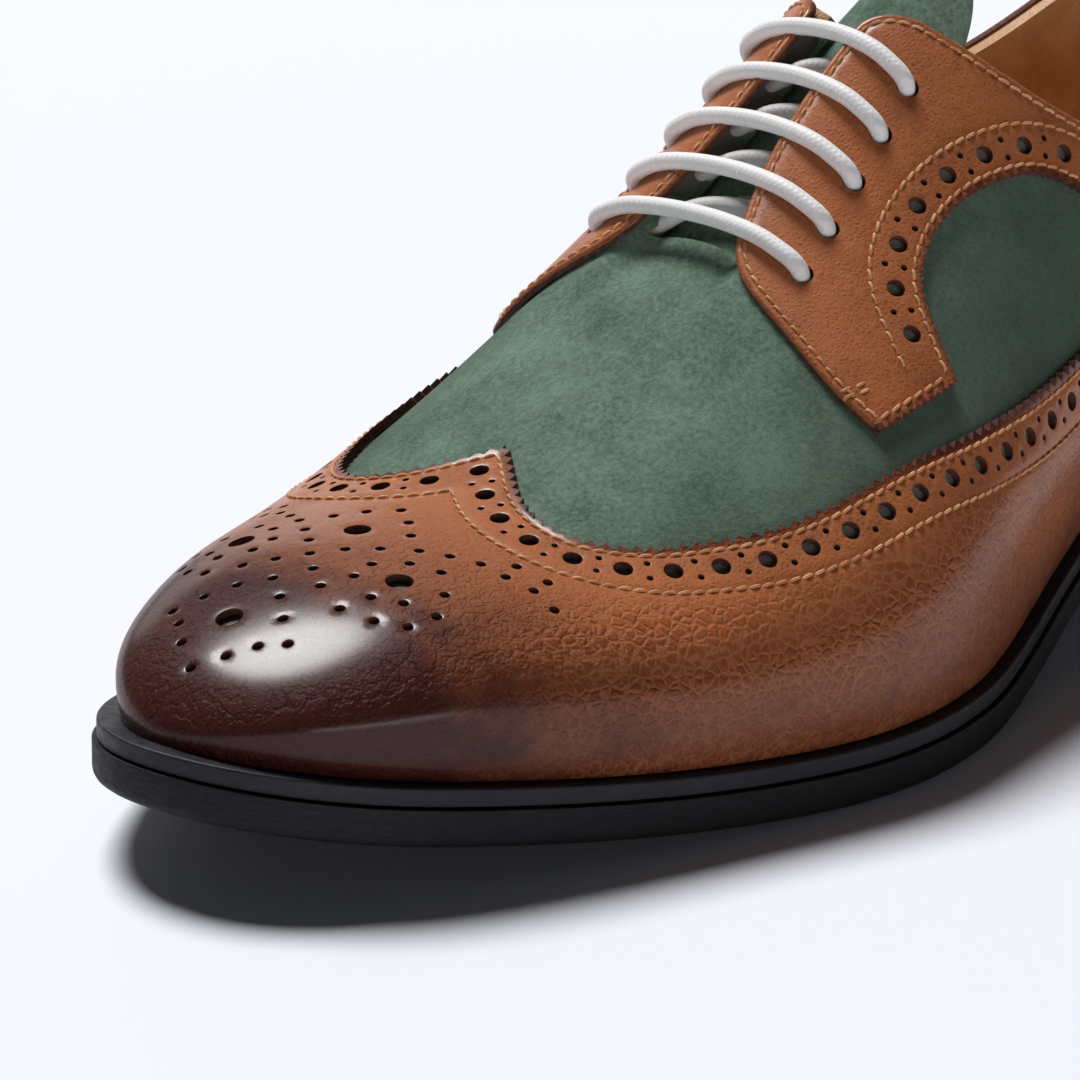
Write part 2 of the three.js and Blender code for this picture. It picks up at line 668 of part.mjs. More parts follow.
function footprint() {
  const loop = [];
  for (let row = 0; row <= ROWS; row++) loop.push(nodes[row][0].place);
  for (let row = ROWS - 1; row > 0; row--) loop.push(nodes[row][COLUMNS].place);
  return loop.map((place, i) => {
    const before = loop[(i + loop.length - 1) % loop.length];
    const after = loop[(i + 1) % loop.length];
    const out = new THREE.Vector2(after.y - before.y, before.x - after.x).normalize();
    return { x: place.x, y: place.y, out };
  });
}
const feather = footprint();

// Loop round the shoe at the distance out(at) from the feather line and the height height(x)
function bottomLoop(out, height) {
  return feather.map((point) => {
    const distance = out(clamp(point.x / UPPER_LENGTH, 0, 1));
    const x = point.x + point.out.x * distance;
    return new THREE.Vector3(x, point.y + point.out.y * distance, height(x));
  });
}

// Solid between loops listed from the bottom up, closed by a floor and a cover
function stack(loops) {
  const count = loops[0].length;
  const triangles = [];
  for (let level = 0; level < loops.length - 1; level++) {
    for (let i = 0; i < count; i++) {
      const next = (i + 1) % count;
      const low = level * count;
      const high = low + count;
      quad(triangles, low + i, low + next, high + next, high + i);
    }
  }
  const top = (loops.length - 1) * count;
  for (let i = 0; i < count / 2; i++) {
    const across = (count - i) % count;
    const acrossNext = count - i - 1;
    quad(triangles, i, across, acrossNext, i + 1);
    quad(triangles, top + i, top + i + 1, top + acrossNext, top + across);
  }
  return meshGeometry(loops.flat(), triangles);
}

const outsoleEdge = (at) => ledge(at) + OUTSOLE_LIP;
const aboveSole = (lift) => (x) => soleHeight(x) + lift;
const weltLow = OUTSOLE_THICKNESS + CLEARANCE;

function outsoleGeometry() {
  const middle = OUTSOLE_ROUND * (1 - Math.SQRT1_2);
  return stack([
    bottomLoop((at) => outsoleEdge(at) - OUTSOLE_ROUND, aboveSole(0)),
    bottomLoop((at) => outsoleEdge(at) - middle, aboveSole(middle)),
    bottomLoop(outsoleEdge, aboveSole(OUTSOLE_ROUND)),
    bottomLoop(outsoleEdge, aboveSole(OUTSOLE_THICKNESS)),
  ]);
}

// Welt: a strip all round, from its outer edge to under the upper
function weltGeometry() {
  const inner = () => -WELT_INWARD;
  const loops = [
    bottomLoop(ledge, aboveSole(weltLow)),
    bottomLoop(ledge, aboveSole(weltLow + WELT_THICKNESS)),
    bottomLoop(inner, aboveSole(weltLow + WELT_THICKNESS)),
    bottomLoop(inner, aboveSole(weltLow)),
  ];
  const count = feather.length;
  const triangles = [];
  for (let level = 0; level < loops.length; level++) {
    const low = level * count;
    const high = ((level + 1) % loops.length) * count;
    for (let i = 0; i < count; i++) {
      const next = (i + 1) % count;
      quad(triangles, low + i, low + next, high + next, high + i);
    }
  }
  return meshGeometry(loops.flat(), triangles);
}

// Insole: the board under the foot, with the filler that closes the welt's inside
function insoleGeometry() {
  const filler = () => -WELT_INWARD - 2 * CLEARANCE;
  const board = () => -INSOLE_INSET;
  return stack([
    bottomLoop(filler, aboveSole(weltLow)),
    bottomLoop(filler, aboveSole(BOTTOM_THICKNESS)),
    bottomLoop(board, aboveSole(BOTTOM_THICKNESS)),
    bottomLoop(board, aboveSole(BOTTOM_THICKNESS + INSOLE_THICKNESS)),
  ]);
}

// Heel: the block and its rubber top piece, cut off in front by a hollow breast
function heelZone() {
  const front = HEEL_BREAST * UPPER_LENGTH;
  const behind = -0.1 * UPPER_LENGTH;
  const shape = new THREE.Shape();
  shape.moveTo(behind, -BALL_WIDTH);
  shape.lineTo(front, -BALL_WIDTH);
  shape.lineTo(front, -BALL_WIDTH / 2);
  shape.quadraticCurveTo(front - 2 * BREAST_HOLLOW, 0, front, BALL_WIDTH / 2);
  shape.lineTo(front, BALL_WIDTH);
  shape.lineTo(behind, BALL_WIDTH);
  const zone = new THREE.ExtrudeGeometry(shape, { depth: 3 * HEEL_LIFT, bevelEnabled: false, curveSegments: 8 });
  zone.translate(0, 0, -HEEL_LIFT);
  return solidOf(zone);
}

function heelSolid(low, high) {
  const edge = (height) => (at) => outsoleEdge(at) - CLEARANCE - HEEL_TAPER * (1 - height / HEEL_LIFT);
  const layer = stack([bottomLoop(edge(low), () => low), bottomLoop(edge(high), () => high)]);
  return solidOf(layer).intersect(heelZone());
}

// Materials
const leather = (color) => new THREE.MeshStandardMaterial({ color, roughness: 0.4, metalness: 0 });
const brownLeather = leather('#7a4226');
const tanLeather = leather('#86492a');
const greenSuede = new THREE.MeshStandardMaterial({ color: '#2f5240', roughness: 0.95, metalness: 0 });
const tanLining = new THREE.MeshStandardMaterial({ color: '#a8713f', roughness: 0.7, metalness: 0 });
const blackRubber = new THREE.MeshStandardMaterial({ color: '#1d1e21', roughness: 0.6, metalness: 0 });
const blackWelt = new THREE.MeshStandardMaterial({ color: '#26272b', roughness: 0.5, metalness: 0 });
const whiteCotton = new THREE.MeshStandardMaterial({ color: '#f2efec', roughness: 0.8, metalness: 0 });

const shoe = new THREE.Group();

function add(name, geometry, material) {
  const mesh = new THREE.Mesh(geometry, material);
  mesh.name = name;
  shoe.add(mesh);
}

add('outsole', outsoleGeometry(), blackRubber);
add('heel_top_piece', geometryOf(heelSolid(0, TOP_PIECE)), blackRubber);
add('heel_block', geometryOf(heelSolid(TOP_PIECE + CLEARANCE, HEEL_LIFT - CLEARANCE)), blackWelt);
add('welt', weltGeometry(), blackWelt);
add('insole', insoleGeometry(), tanLining);
add('upper', geometryOf(upperSolid()), greenSuede);
add('wing', geometryOf(wingSolid()), brownLeather);
add('facing_left', geometryOf(facingSolid(1)), tanLeather);
add('facing_right', geometryOf(facingSolid(-1)), tanLeather);
add('back_strip', geometryOf(backStripSolid()), tanLeather);
add('tongue', geometryOf(tongueSolid()), greenSuede);
add('lace', laceGeometry(), whiteCotton);

// The origin lies under the middle of the shoe, on the floor
const bounds = new THREE.Box3().setFromObject(shoe);
const middle = bounds.getCenter(new THREE.Vector3());
shoe.position.set(-middle.x, -middle.y, -bounds.min.z);

export default shoe;
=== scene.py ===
"""Left brogue shoe, dressed: leather, suede, lining, seams, welted rubber sole and white lace."""
import math

import bpy
import numpy as np
from mathutils import Matrix, Vector
from mathutils.geometry import delaunay_2d_cdt
from mathutils.kdtree import KDTree


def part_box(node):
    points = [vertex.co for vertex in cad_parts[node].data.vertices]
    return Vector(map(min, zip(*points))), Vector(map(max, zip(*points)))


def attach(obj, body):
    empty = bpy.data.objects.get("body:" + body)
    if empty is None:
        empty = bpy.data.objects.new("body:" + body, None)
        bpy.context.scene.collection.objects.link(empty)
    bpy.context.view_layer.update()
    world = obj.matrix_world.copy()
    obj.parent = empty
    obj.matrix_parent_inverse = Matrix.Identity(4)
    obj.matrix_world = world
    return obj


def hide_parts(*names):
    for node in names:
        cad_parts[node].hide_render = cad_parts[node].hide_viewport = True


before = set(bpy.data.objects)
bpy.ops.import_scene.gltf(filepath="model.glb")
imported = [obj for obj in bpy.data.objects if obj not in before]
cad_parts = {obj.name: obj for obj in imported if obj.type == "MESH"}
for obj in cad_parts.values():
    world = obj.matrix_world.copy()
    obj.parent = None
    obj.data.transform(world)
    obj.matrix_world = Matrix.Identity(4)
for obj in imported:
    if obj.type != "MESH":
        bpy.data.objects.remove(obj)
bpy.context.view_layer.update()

# Insole: a board under the foot with a tan leather sock glued on, tacked to the wooden last before
# the upper is pulled over. The last gives every curved piece its form, so its sizes stand here,
# in millimetres: x from the back of the heel to the toe, y to the wearer's left, z up.
MM = 0.001
UPPER_LENGTH = 291.5
BALL_WIDTH = 100
LAST_HEIGHT = 100
BACK_CURVE = 5
BACK_FULLEST = 24
BACK_REACH = 38
OUTSOLE_THICKNESS = 5.8
WELT_THICKNESS = 2.8
CLEARANCE = 0.3
HEEL_LIFT = 20.2
TOE_SPRING = 13.3
SIDE_SHARE = 0.86
BOTTOM_THICKNESS = OUTSOLE_THICKNESS + WELT_THICKNESS + 2 * CLEARANCE
SEAT_HEIGHT = HEEL_LIFT + BOTTOM_THICKNESS
WAIST = (0.273, 0.586)
SPRING = (0.669, 1.024)
SPRING_POWER = 1.8
SECTION_COLUMNS = ("at", "left", "right", "bulge", "widest", "crest", "shift", "full")
SECTIONS = np.array([
    (0, 0, 0, 0, 0.26, 0.9, 0, 0),
    (0.03, 0.167, 0.165, 0.012, 0.26, 0.952, 0, 0),
    (0.1, 0.28, 0.276, 0.018, 0.25, 1.004, 0, 0),
    (0.2, 0.323, 0.308, 0.02, 0.24, 1.027, 0, -0.09),
    (0.3, 0.335, 0.285, 0.03, 0.24, 0.992, 0, -0.18),
    (0.4, 0.365, 0.278, 0.035, 0.24, 0.92, -0.01, -0.27),
    (0.47, 0.41, 0.304, 0.035, 0.25, 0.85, -0.02, -0.27),
    (0.55, 0.481, 0.362, 0.025, 0.26, 0.726, -0.03, -0.24),
    (0.64, 0.53, 0.425, 0.02, 0.28, 0.537, -0.03, -0.16),
    (0.73, 0.49, 0.432, 0.02, 0.32, 0.375, -0.02, -0.05),
    (0.81, 0.42, 0.374, 0.02, 0.36, 0.29, -0.01, 0.05),
    (0.88, 0.341, 0.296, 0.02, 0.4, 0.246, 0, 0.1),
    (0.945, 0.25, 0.208, 0.015, 0.45, 0.167, 0, 0.05),
    (1, 0, 0, 0, 0.5, 0, 0, 0.1),
])


def spline(knots, values):
    """Natural cubic curve through the knots: its bends solve the usual three-term equations."""
    width = np.diff(knots)
    slope = np.diff(values) / width
    system = np.diag(np.r_[1, 2 * (width[:-1] + width[1:]), 1])
    system += np.diag(np.r_[0, width[1:]], 1) + np.diag(np.r_[width[:-1], 0], -1)
    bend = np.linalg.solve(system, np.r_[0, 6 * np.diff(slope), 0])

    def curve(x):
        """Value at x, from the two knots beside it and their bends."""
        i = np.clip(np.searchsorted(knots, x) - 1, 0, len(width) - 1)
        a = (knots[i + 1] - x) / width[i]
        b = 1 - a
        bow = (a**3 - a) * bend[i] + (b**3 - b) * bend[i + 1]
        return a * values[i] + b * values[i + 1] + bow * width[i] ** 2 / 6

    return curve


def angle_at(at):
    """Station along the last as an angle, 0 at the toe and pi at the heel: at = (1 + cos(angle)) / 2."""
    return np.arccos(np.clip(2 * np.asarray(at, float) - 1, -1, 1))


knot_angles = angle_at(SECTIONS[::-1, 0])
section = {
    name: spline(knot_angles, SECTIONS[::-1, i])
    for i, name in enumerate(SECTION_COLUMNS)
}


def sole_height(x):
    """Underside of the outsole over the floor: the waist's smooth step up to the heel, and the toe's
    rise as a power of the way to the tip."""
    at = x / UPPER_LENGTH
    spring = np.clip((at - SPRING[0]) / (SPRING[1] - SPRING[0]), 0, None)
    waist = np.clip((WAIST[1] - at) / (WAIST[1] - WAIST[0]), 0, 1)
    return TOE_SPRING * spring**SPRING_POWER + HEEL_LIFT * waist**2 * (3 - 2 * waist)


def last_point(angle, girth):
    """Point of the last. Over the widest line the section is a half ellipse whose shoulders are
    filled or hollowed by full; below it the side drops to the feather line. girth runs from 1 at
    the left feather line over 0 at the comb to -1."""
    angle, girth = np.broadcast_arrays(np.asarray(angle, float), np.asarray(girth, float))
    at = (1 + np.cos(angle)) / 2
    x = UPPER_LENGTH * at
    bulge = BALL_WIDTH * section["bulge"](angle)
    left = BALL_WIDTH * section["left"](angle) + bulge
    right = BALL_WIDTH * section["right"](angle) + bulge
    crest = LAST_HEIGHT * section["crest"](angle)
    widest = crest * section["widest"](angle)
    turn = math.pi / 2 * (1 - np.clip(girth / SIDE_SHARE, -1, 1))
    across = np.cos(turn)
    up = np.sin(turn)
    down = np.clip((np.abs(girth) - SIDE_SHARE) / (1 - SIDE_SHARE), 0, 1)
    middle = (left - right) / 2
    comb = BALL_WIDTH * section["shift"](angle) - middle
    shoulder = up + section["full"](angle) * up * across**2
    height = widest * (1 - down) + (crest - widest) * shoulder
    lean = BACK_CURVE * ((height - BACK_FULLEST) / BACK_REACH) ** 2 * np.clip(1 - 2 * at, 0, None) ** 3
    y = middle + (left + right) / 2 * across + comb * up**2 - np.sign(girth) * bulge * down**2
    return np.stack([x + lean, y, sole_height(x) + BOTTOM_THICKNESS + height], -1)


def unit(vectors):
    """Vectors divided by their lengths."""
    return vectors / np.maximum(np.linalg.norm(vectors, axis=-1, keepdims=True), 1e-12)


def last_normal(angle, girth):
    """Outward normal: across the two tangents of the surface, level at the feather line, and turned
    straight forward at the toe's tip and straight back at the heel seam."""
    step = 2e-3
    angle, girth = np.broadcast_arrays(np.asarray(angle, float), np.asarray(girth, float))
    inside = np.clip(angle, 2 * step, math.pi - 2 * step)
    along = last_point(inside + step, girth) - last_point(inside - step, girth)
    onward = np.minimum(girth + step, 1)
    backward = np.maximum(girth - step, -1)
    around = last_point(inside, onward) - last_point(inside, backward)
    normal = unit(np.cross(around, along))
    down = np.clip((np.abs(girth) - SIDE_SHARE) / (1 - SIDE_SHARE), 0, 1)
    normal[..., 2] *= 1 - down
    tip = np.exp(-((angle / 0.05) ** 2))
    seam = np.exp(-(((math.pi - angle) / 0.03) ** 2))
    normal = unit(normal) * (1 - tip)[..., None]
    normal[..., 0] += tip
    normal[..., 1] *= 1 - seam
    return unit(normal)


def on_last(angle, girth, offset):
    """Point of the last moved out along its normal by the offset."""
    return last_point(angle, girth) + last_normal(angle, girth) * np.asarray(offset, float)[..., None]


STATIONS = np.linspace(0, math.pi, 1441)


def arc_length(points):
    """Length along a line of points, from its start to each point."""
    steps = np.linalg.norm(np.diff(points, axis=0), axis=-1)
    return np.concatenate([np.zeros((1,) + steps.shape[1:]), np.cumsum(steps, axis=0)])


ALONG = arc_length(last_point(STATIONS[:, None], np.array([-0.9, -0.45, 0, 0.45, 0.9]))).mean(axis=1)
HALF_GIRTH = sum(
    arc_length(last_point(STATIONS[None], side * np.linspace(0, 1, 161)[:, None]))[-1] / 2
    for side in (1, -1)
)


def flat(at, girth):
    """Pattern point of a place on the last: millimetres back from the toe's tip along the last, and
    millimetres from the comb towards the left feather line."""
    return flat_angle(angle_at(at), girth)


def flat_angle(angle, girth):
    """Pattern point of a place given by its angle: the run along the last up to that angle, and the
    girth's share of the half girth there."""
    back = np.interp(angle, STATIONS, ALONG)
    return np.stack([back, girth * np.interp(angle, STATIONS, HALF_GIRTH)], -1)


def place(pattern):
    """Angle and girth of pattern points, the reverse of flat."""
    angle = np.interp(pattern[..., 0], ALONG, STATIONS)
    half = np.maximum(np.interp(angle, STATIONS, HALF_GIRTH), 1e-6)
    return angle, np.clip(pattern[..., 1] / half, -1, 1)


def worn(pattern, offset=0.0):
    """Point of the shoe, in millimetres, where a pattern point lies once it is pulled over the last."""
    angle, girth = place(pattern)
    return on_last(angle, girth, offset)


def tangents(pattern):
    """How a worn point moves for a millimetre along and across the pattern."""
    step = 0.05
    ahead = np.array([step, 0])
    aside = np.array([0, step])
    along = worn(pattern + ahead) - worn(pattern - ahead)
    across = worn(pattern + aside) - worn(pattern - aside)
    return along / (2 * step), across / (2 * step)


def unwrap(pattern, vector):
    """Pattern step whose worn step is the given vector on the leather: two equations in two unknowns."""
    along, across = tangents(pattern)
    aa = (along * along).sum(-1)
    bb = (across * across).sum(-1)
    ab = (along * across).sum(-1)
    va = (along * vector).sum(-1)
    vb = (across * vector).sum(-1)
    rest = np.maximum(aa * bb - ab * ab, 1e-9)
    return np.stack([(va * bb - vb * ab) / rest, (vb * aa - va * ab) / rest], -1)


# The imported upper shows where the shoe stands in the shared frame
UPPER_FACE = -0.8
UPPER_WALL = 2
SOURCE_ROWS = 34
SOURCE_COLUMNS = 20
source_net = on_last(
    np.linspace(0, math.pi, SOURCE_ROWS + 1)[:, None],
    np.linspace(1, -1, SOURCE_COLUMNS + 1)[None],
    UPPER_FACE,
)
upper_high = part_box("upper")[1]
SHIFT = np.array([
    upper_high.x / MM - source_net[..., 0].max(),
    upper_high.y / MM - source_net[..., 1].max(),
    0,
])


def mesh_object(name, points, *face_sets, crease=40):
    """Smooth object from points of the shoe in millimetres and its triangles or quads, with sharp
    edges where two faces meet at more than the crease angle in degrees."""
    corners = np.concatenate([faces.ravel() for faces in face_sets])
    sizes = np.concatenate([np.full(len(faces), faces.shape[1]) for faces in face_sets])
    mesh = bpy.data.meshes.new(name)
    mesh.vertices.add(len(points))
    mesh.vertices.foreach_set("co", ((points + SHIFT) * MM).astype(np.float32).ravel())
    mesh.loops.add(len(corners))
    mesh.loops.foreach_set("vertex_index", corners.astype(np.int32))
    mesh.polygons.add(len(sizes))
    mesh.polygons.foreach_set("loop_start", (np.cumsum(sizes) - sizes).astype(np.int32))
    mesh.update(calc_edges=True)
    mesh.polygons.foreach_set("use_smooth", np.ones(len(sizes), bool))
    mesh.set_sharp_from_angle(angle=math.radians(crease))
    piece = bpy.data.objects.new(name, mesh)
    bpy.context.scene.collection.objects.link(piece)
    return piece


def set_attribute(piece, name, values):
    """Stores one number for each point of the piece, for its material."""
    layer = piece.data.attributes.new(name, "FLOAT", "POINT")
    layer.data.foreach_set("value", np.asarray(values, np.float32))


def finish_piece(piece, slot, node, *materials):
    """Gives a piece its materials, hangs it under the root and hides the imported part of its node; the
    slot is not used.
    """
    for material in materials:
        piece.data.materials.append(material)
    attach(piece, "root")
    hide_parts(node)
    return piece


FOOT_STEPS = 260
foot_angles = np.concatenate([
    np.linspace(0, math.pi, FOOT_STEPS + 1),
    np.linspace(math.pi, 0, FOOT_STEPS + 1)[1:-1],
])
foot_girths = np.repeat([1, -1], [FOOT_STEPS + 1, FOOT_STEPS - 1])
foot_line = last_point(foot_angles, foot_girths)[:, :2]
foot_step = np.roll(foot_line, -1, axis=0) - np.roll(foot_line, 1, axis=0)
foot_out = unit(np.stack([foot_step[:, 1], -foot_step[:, 0]], -1))


def foot_ring(distance, height):
    """Closed line round the shoe: the feather line seen from above, moved out by the distance, at the
    height over the outsole's underside. Both may be single numbers or one for each point."""
    spots = foot_line + foot_out * np.reshape(distance, (-1, 1))
    return np.column_stack([spots, sole_height(spots[:, 0]) + height])


def band_faces(rings, points, closed=False):
    """Quads between rings of as many points each, one ring after the other."""
    i = np.arange(points)
    j = (i + 1) % points
    low = np.arange(rings if closed else rings - 1)[:, None] * points
    high = (low + points) % (rings * points)
    return np.stack([low + i, low + j, high + j, high + i], -1).reshape(-1, 4)


def cap_faces(ring, centre, upward):
    """Triangles from a closed ring of point numbers, counter-clockwise from above, to one point."""
    onward = np.roll(ring, -1)
    first, second = (ring, onward) if upward else (onward, ring)
    return np.column_stack([first, second, np.full(len(ring), centre)])


def rounded_profile(corners):
    """Outline through (distance, height) corners whose third number is the radius of the corner's
    rounding, drawn as five points on a curve that leaves and meets both straight sides."""
    corners = np.array(corners, float)
    out = []
    for i, (distance, height, radius) in enumerate(corners):
        here = np.array([distance, height])
        if radius == 0:
            out.append(here)
            continue
        before = unit(corners[i - 1, :2] - here) * radius
        after = unit(corners[(i + 1) % len(corners), :2] - here) * radius
        share = np.linspace(0, 1, 5)[:, None]
        out.extend(here + before * (1 - share) ** 2 + after * share**2)
    return np.array(out)


def add_node(tree, kind, inputs=None, **settings):
    """New shader node with its settings, and its inputs either linked from a socket or set."""
    made = tree.nodes.new(kind)
    for key, value in settings.items():
        setattr(made, key, value)
    for key, value in (inputs or {}).items():
        if isinstance(value, bpy.types.NodeSocket):
            tree.links.new(value, made.inputs[key])
        else:
            made.inputs[key].default_value = value
    return made


def math_node(tree, operation, first, second=0.0, third=0.0):
    """Result of one sum on numbers or sockets."""
    inputs = {0: first, 1: second, 2: third}
    return add_node(tree, "ShaderNodeMath", inputs, operation=operation).outputs[0]


def blend_color(tree, share, first, second):
    """Colour between two, by a share from 0 to 1."""
    made = add_node(tree, "ShaderNodeMix", {"Factor": share, 6: first, 7: second}, data_type="RGBA")
    return made.outputs[2]


def ramp(tree, value, low, high, start=0.0, end=1.0):
    """Smooth step of a value from low to high, given out between start and end."""
    inputs = {"Value": value, "From Min": low, "From Max": high, "To Min": start, "To Max": end}
    return add_node(tree, "ShaderNodeMapRange", inputs, interpolation_type="SMOOTHSTEP").outputs[0]


def shader_group(name, inputs, outputs):
    """Empty node group with its named number inputs, each with a default, and its outputs."""
    group = bpy.data.node_groups.new(name, "ShaderNodeTree")
    for socket, default in inputs.items():
        made = group.interface.new_socket(socket, in_out="INPUT", socket_type="NodeSocketFloat")
        made.default_value = default
    for socket in outputs:
        group.interface.new_socket(socket, in_out="OUTPUT", socket_type="NodeSocketFloat")
    return group, group.nodes.new("NodeGroupInput"), group.nodes.new("NodeGroupOutput")


def place_group(tree, group, **inputs):
    """Puts a node group in a material with its own values."""
    made = add_node(tree, "ShaderNodeGroup", node_tree=group)
    for key, value in inputs.items():
        if isinstance(value, bpy.types.NodeSocket):
            tree.links.new(value, made.inputs[key])
        else:
            made.inputs[key].default_value = value
    return made


def object_noise(tree, scale, detail=3.0, roughness=0.55, vector=None, kind="Fac"):
    """Cloudy noise on the piece's own coordinates, its scale in lumps a metre."""
    source = vector or add_node(tree, "ShaderNodeTexCoord").outputs["Object"]
    inputs = {"Vector": source, "Scale": scale, "Detail": detail, "Roughness": roughness}
    return add_node(tree, "ShaderNodeTexNoise", inputs).outputs["Fac" if kind == "Fac" else "Color"]


def new_material(name, roughness, **principled):
    """Material with a Principled surface; its constants are set on the shader's own sockets."""
    material = bpy.data.materials.new(name)
    material.use_nodes = True
    tree = material.node_tree
    shader = tree.nodes["Principled BSDF"]
    shader.inputs["Roughness"].default_value = roughness
    for key, value in principled.items():
        shader.inputs[key.replace("_", " ")].default_value = value
    return material, tree, shader


def bump(tree, shader, height, distance, strength=1.0, normal=None):
    """Raises the surface by a height in metres through the shader's normal."""
    inputs = {"Height": height, "Distance": distance, "Strength": strength}
    if normal is not None:
        inputs["Normal"] = normal
    made = add_node(tree, "ShaderNodeBump", inputs)
    tree.links.new(made.outputs["Normal"], shader.inputs["Normal"])
    return made.outputs["Normal"]


# Grain of a tumbled hide: cells of two sizes with creases between them, on warped coordinates
hide_grain, grain_in, grain_out = shader_group(
    "hide_grain",
    {"Cells": 480.0, "Coarse": 0.5, "Warp": 0.0012, "Wrinkled": 0.3},
    ("Height", "Creases", "Mottle"),
)
grain_place = add_node(hide_grain, "ShaderNodeTexCoord").outputs["Object"]
grain_drift = object_noise(hide_grain, 380.0, 4.0, 0.6, vector=grain_place, kind="Color")
grain_centred = add_node(
    hide_grain, "ShaderNodeVectorMath", {0: grain_drift, 1: (0.5, 0.5, 0.5)}, operation="SUBTRACT"
).outputs[0]
grain_scaled = add_node(
    hide_grain,
    "ShaderNodeVectorMath",
    {0: grain_centred, "Scale": grain_in.outputs["Warp"]},
    operation="SCALE",
).outputs[0]
grain_warped = add_node(
    hide_grain, "ShaderNodeVectorMath", {0: grain_place, 1: grain_scaled}, operation="ADD"
).outputs[0]


def hide_cells(scale, low, high):
    """Flat-topped cells with creases between them, from the distance to the cells' edges."""
    inputs = {"Vector": grain_warped, "Scale": scale}
    edges = add_node(hide_grain, "ShaderNodeTexVoronoi", inputs, feature="DISTANCE_TO_EDGE")
    return ramp(hide_grain, edges.outputs["Distance"], low, high)


coarse_cells = hide_cells(grain_in.outputs["Cells"], 0.0, 0.24)
fine_cells = hide_cells(math_node(hide_grain, "MULTIPLY", grain_in.outputs["Cells"], 2.2), 0.0, 0.45)
pores = object_noise(hide_grain, 3500.0, 2.0)
cell_mix = add_node(
    hide_grain, "ShaderNodeMix", {"Factor": grain_in.outputs["Coarse"], 2: fine_cells, 3: coarse_cells}
).outputs[0]
fold_noise = object_noise(hide_grain, 430.0, 2.0, 0.5, vector=grain_warped)
folds = math_node(hide_grain, "SUBTRACT", fold_noise, 0.5)
wrinkles = ramp(hide_grain, math_node(hide_grain, "ABSOLUTE", folds), 0.0, 0.11)
grain_depth = ramp(hide_grain, grain_in.outputs["Coarse"], 0.0, 1.0, 0.1, 1.0)
deep_cells = math_node(hide_grain, "MULTIPLY", cell_mix, grain_depth)
fine_share = math_node(hide_grain, "MULTIPLY", fine_cells, 0.1)
wrinkle_share = math_node(hide_grain, "MULTIPLY", wrinkles, grain_in.outputs["Wrinkled"])
pore_share = math_node(hide_grain, "MULTIPLY_ADD", pores, 0.14, wrinkle_share)
cell_height = math_node(hide_grain, "ADD", deep_cells, fine_share)
grain_height = math_node(hide_grain, "ADD", cell_height, pore_share)
hide_grain.links.new(grain_height, grain_out.inputs["Height"])
hide_grain.links.new(math_node(hide_grain, "SUBTRACT", 1.0, cell_mix), grain_out.inputs["Creases"])
hide_grain.links.new(object_noise(hide_grain, 95.0, 4.0, 0.6), grain_out.inputs["Mottle"])

# Tan leather of the sock and the lining: smooth, unglazed, lightly creased
TAN_LIGHT = (0.72, 0.41, 0.21, 1)
TAN_DEEP = (0.55, 0.28, 0.13, 1)
lining_leather, lining_tree, lining_shader = new_material("lining_leather", 0.55)
lining_grain = place_group(lining_tree, hide_grain, Cells=900.0, Coarse=0.3, Warp=0.0008)
lining_share = ramp(lining_tree, lining_grain.outputs["Mottle"], 0.3, 0.7)
lining_tree.links.new(
    blend_color(lining_tree, lining_share, TAN_DEEP, TAN_LIGHT), lining_shader.inputs["Base Color"]
)
bump(lining_tree, lining_shader, lining_grain.outputs["Height"], 0.00012)

INSOLE_THICKNESS = 2.6
INSOLE_INSET = 4.6
WELT_INWARD = 9
SEAT_ROUND = 1.2
weltline = OUTSOLE_THICKNESS + CLEARANCE
filler_in = -WELT_INWARD - 2 * CLEARANCE
board_low = BOTTOM_THICKNESS
board_high = BOTTOM_THICKNESS + INSOLE_THICKNESS
insole_profile = rounded_profile([
    (filler_in, weltline, 0),
    (filler_in, board_low, 0),
    (-INSOLE_INSET, board_low, 0),
    (-INSOLE_INSET, board_high, SEAT_ROUND),
    (-INSOLE_INSET - 12, board_high, 0),
])
foot_count = len(foot_line)


def bottom_piece(name, profile, closed=False):
    """Solid of rings round the foot, from a list of (distance, height) or, closed, a band of them."""
    rings = [foot_ring(*corner) for corner in profile]
    count = len(rings)
    ring = np.arange(foot_count)
    if closed:
        return mesh_object(name, np.concatenate(rings), band_faces(count, foot_count, True))
    ends = [rings[0].mean(0), rings[-1].mean(0)]
    for end in ends:
        end[2] += sole_height(end[0]) - sole_height(rings[0][:, 0]).mean()
    points = np.concatenate([*rings, ends])
    return mesh_object(
        name,
        points,
        band_faces(count, foot_count),
        cap_faces(ring, count * foot_count, False),
        cap_faces(ring + (count - 1) * foot_count, count * foot_count + 1, True),
    )


insole = bottom_piece("insole_sock", insole_profile)
finish_piece(insole, "tan_lining", "insole", lining_leather)

# Patterns: every piece of the upper is cut flat, edged, punched, and pulled over the last. A closed
# loop of pattern points is a piece's outline, and smaller loops are its punched holes.


def smooth_line(rows, side=1, spacing=0.8):
    """Evenly spaced pattern points on a smooth curve through rows of at and girth."""
    knots = flat(*np.array(rows, float).T) * (1, side)
    chord = arc_length(knots)
    fine = np.linspace(0, chord[-1], max(8, int(chord[-1] / 0.2)))
    curve = np.column_stack([spline(chord, knots[:, axis])(fine) for axis in (0, 1)])
    return spaced(curve, spacing)


def spaced(line, spacing):
    """The same line with its points at an even spacing, measured on the worn leather."""
    length = arc_length(worn(line))
    count = max(2, int(round(length[-1] / spacing)) + 1)
    even = np.linspace(0, length[-1], count)
    return np.column_stack([np.interp(even, length, line[:, 0]), np.interp(even, length, line[:, 1])])


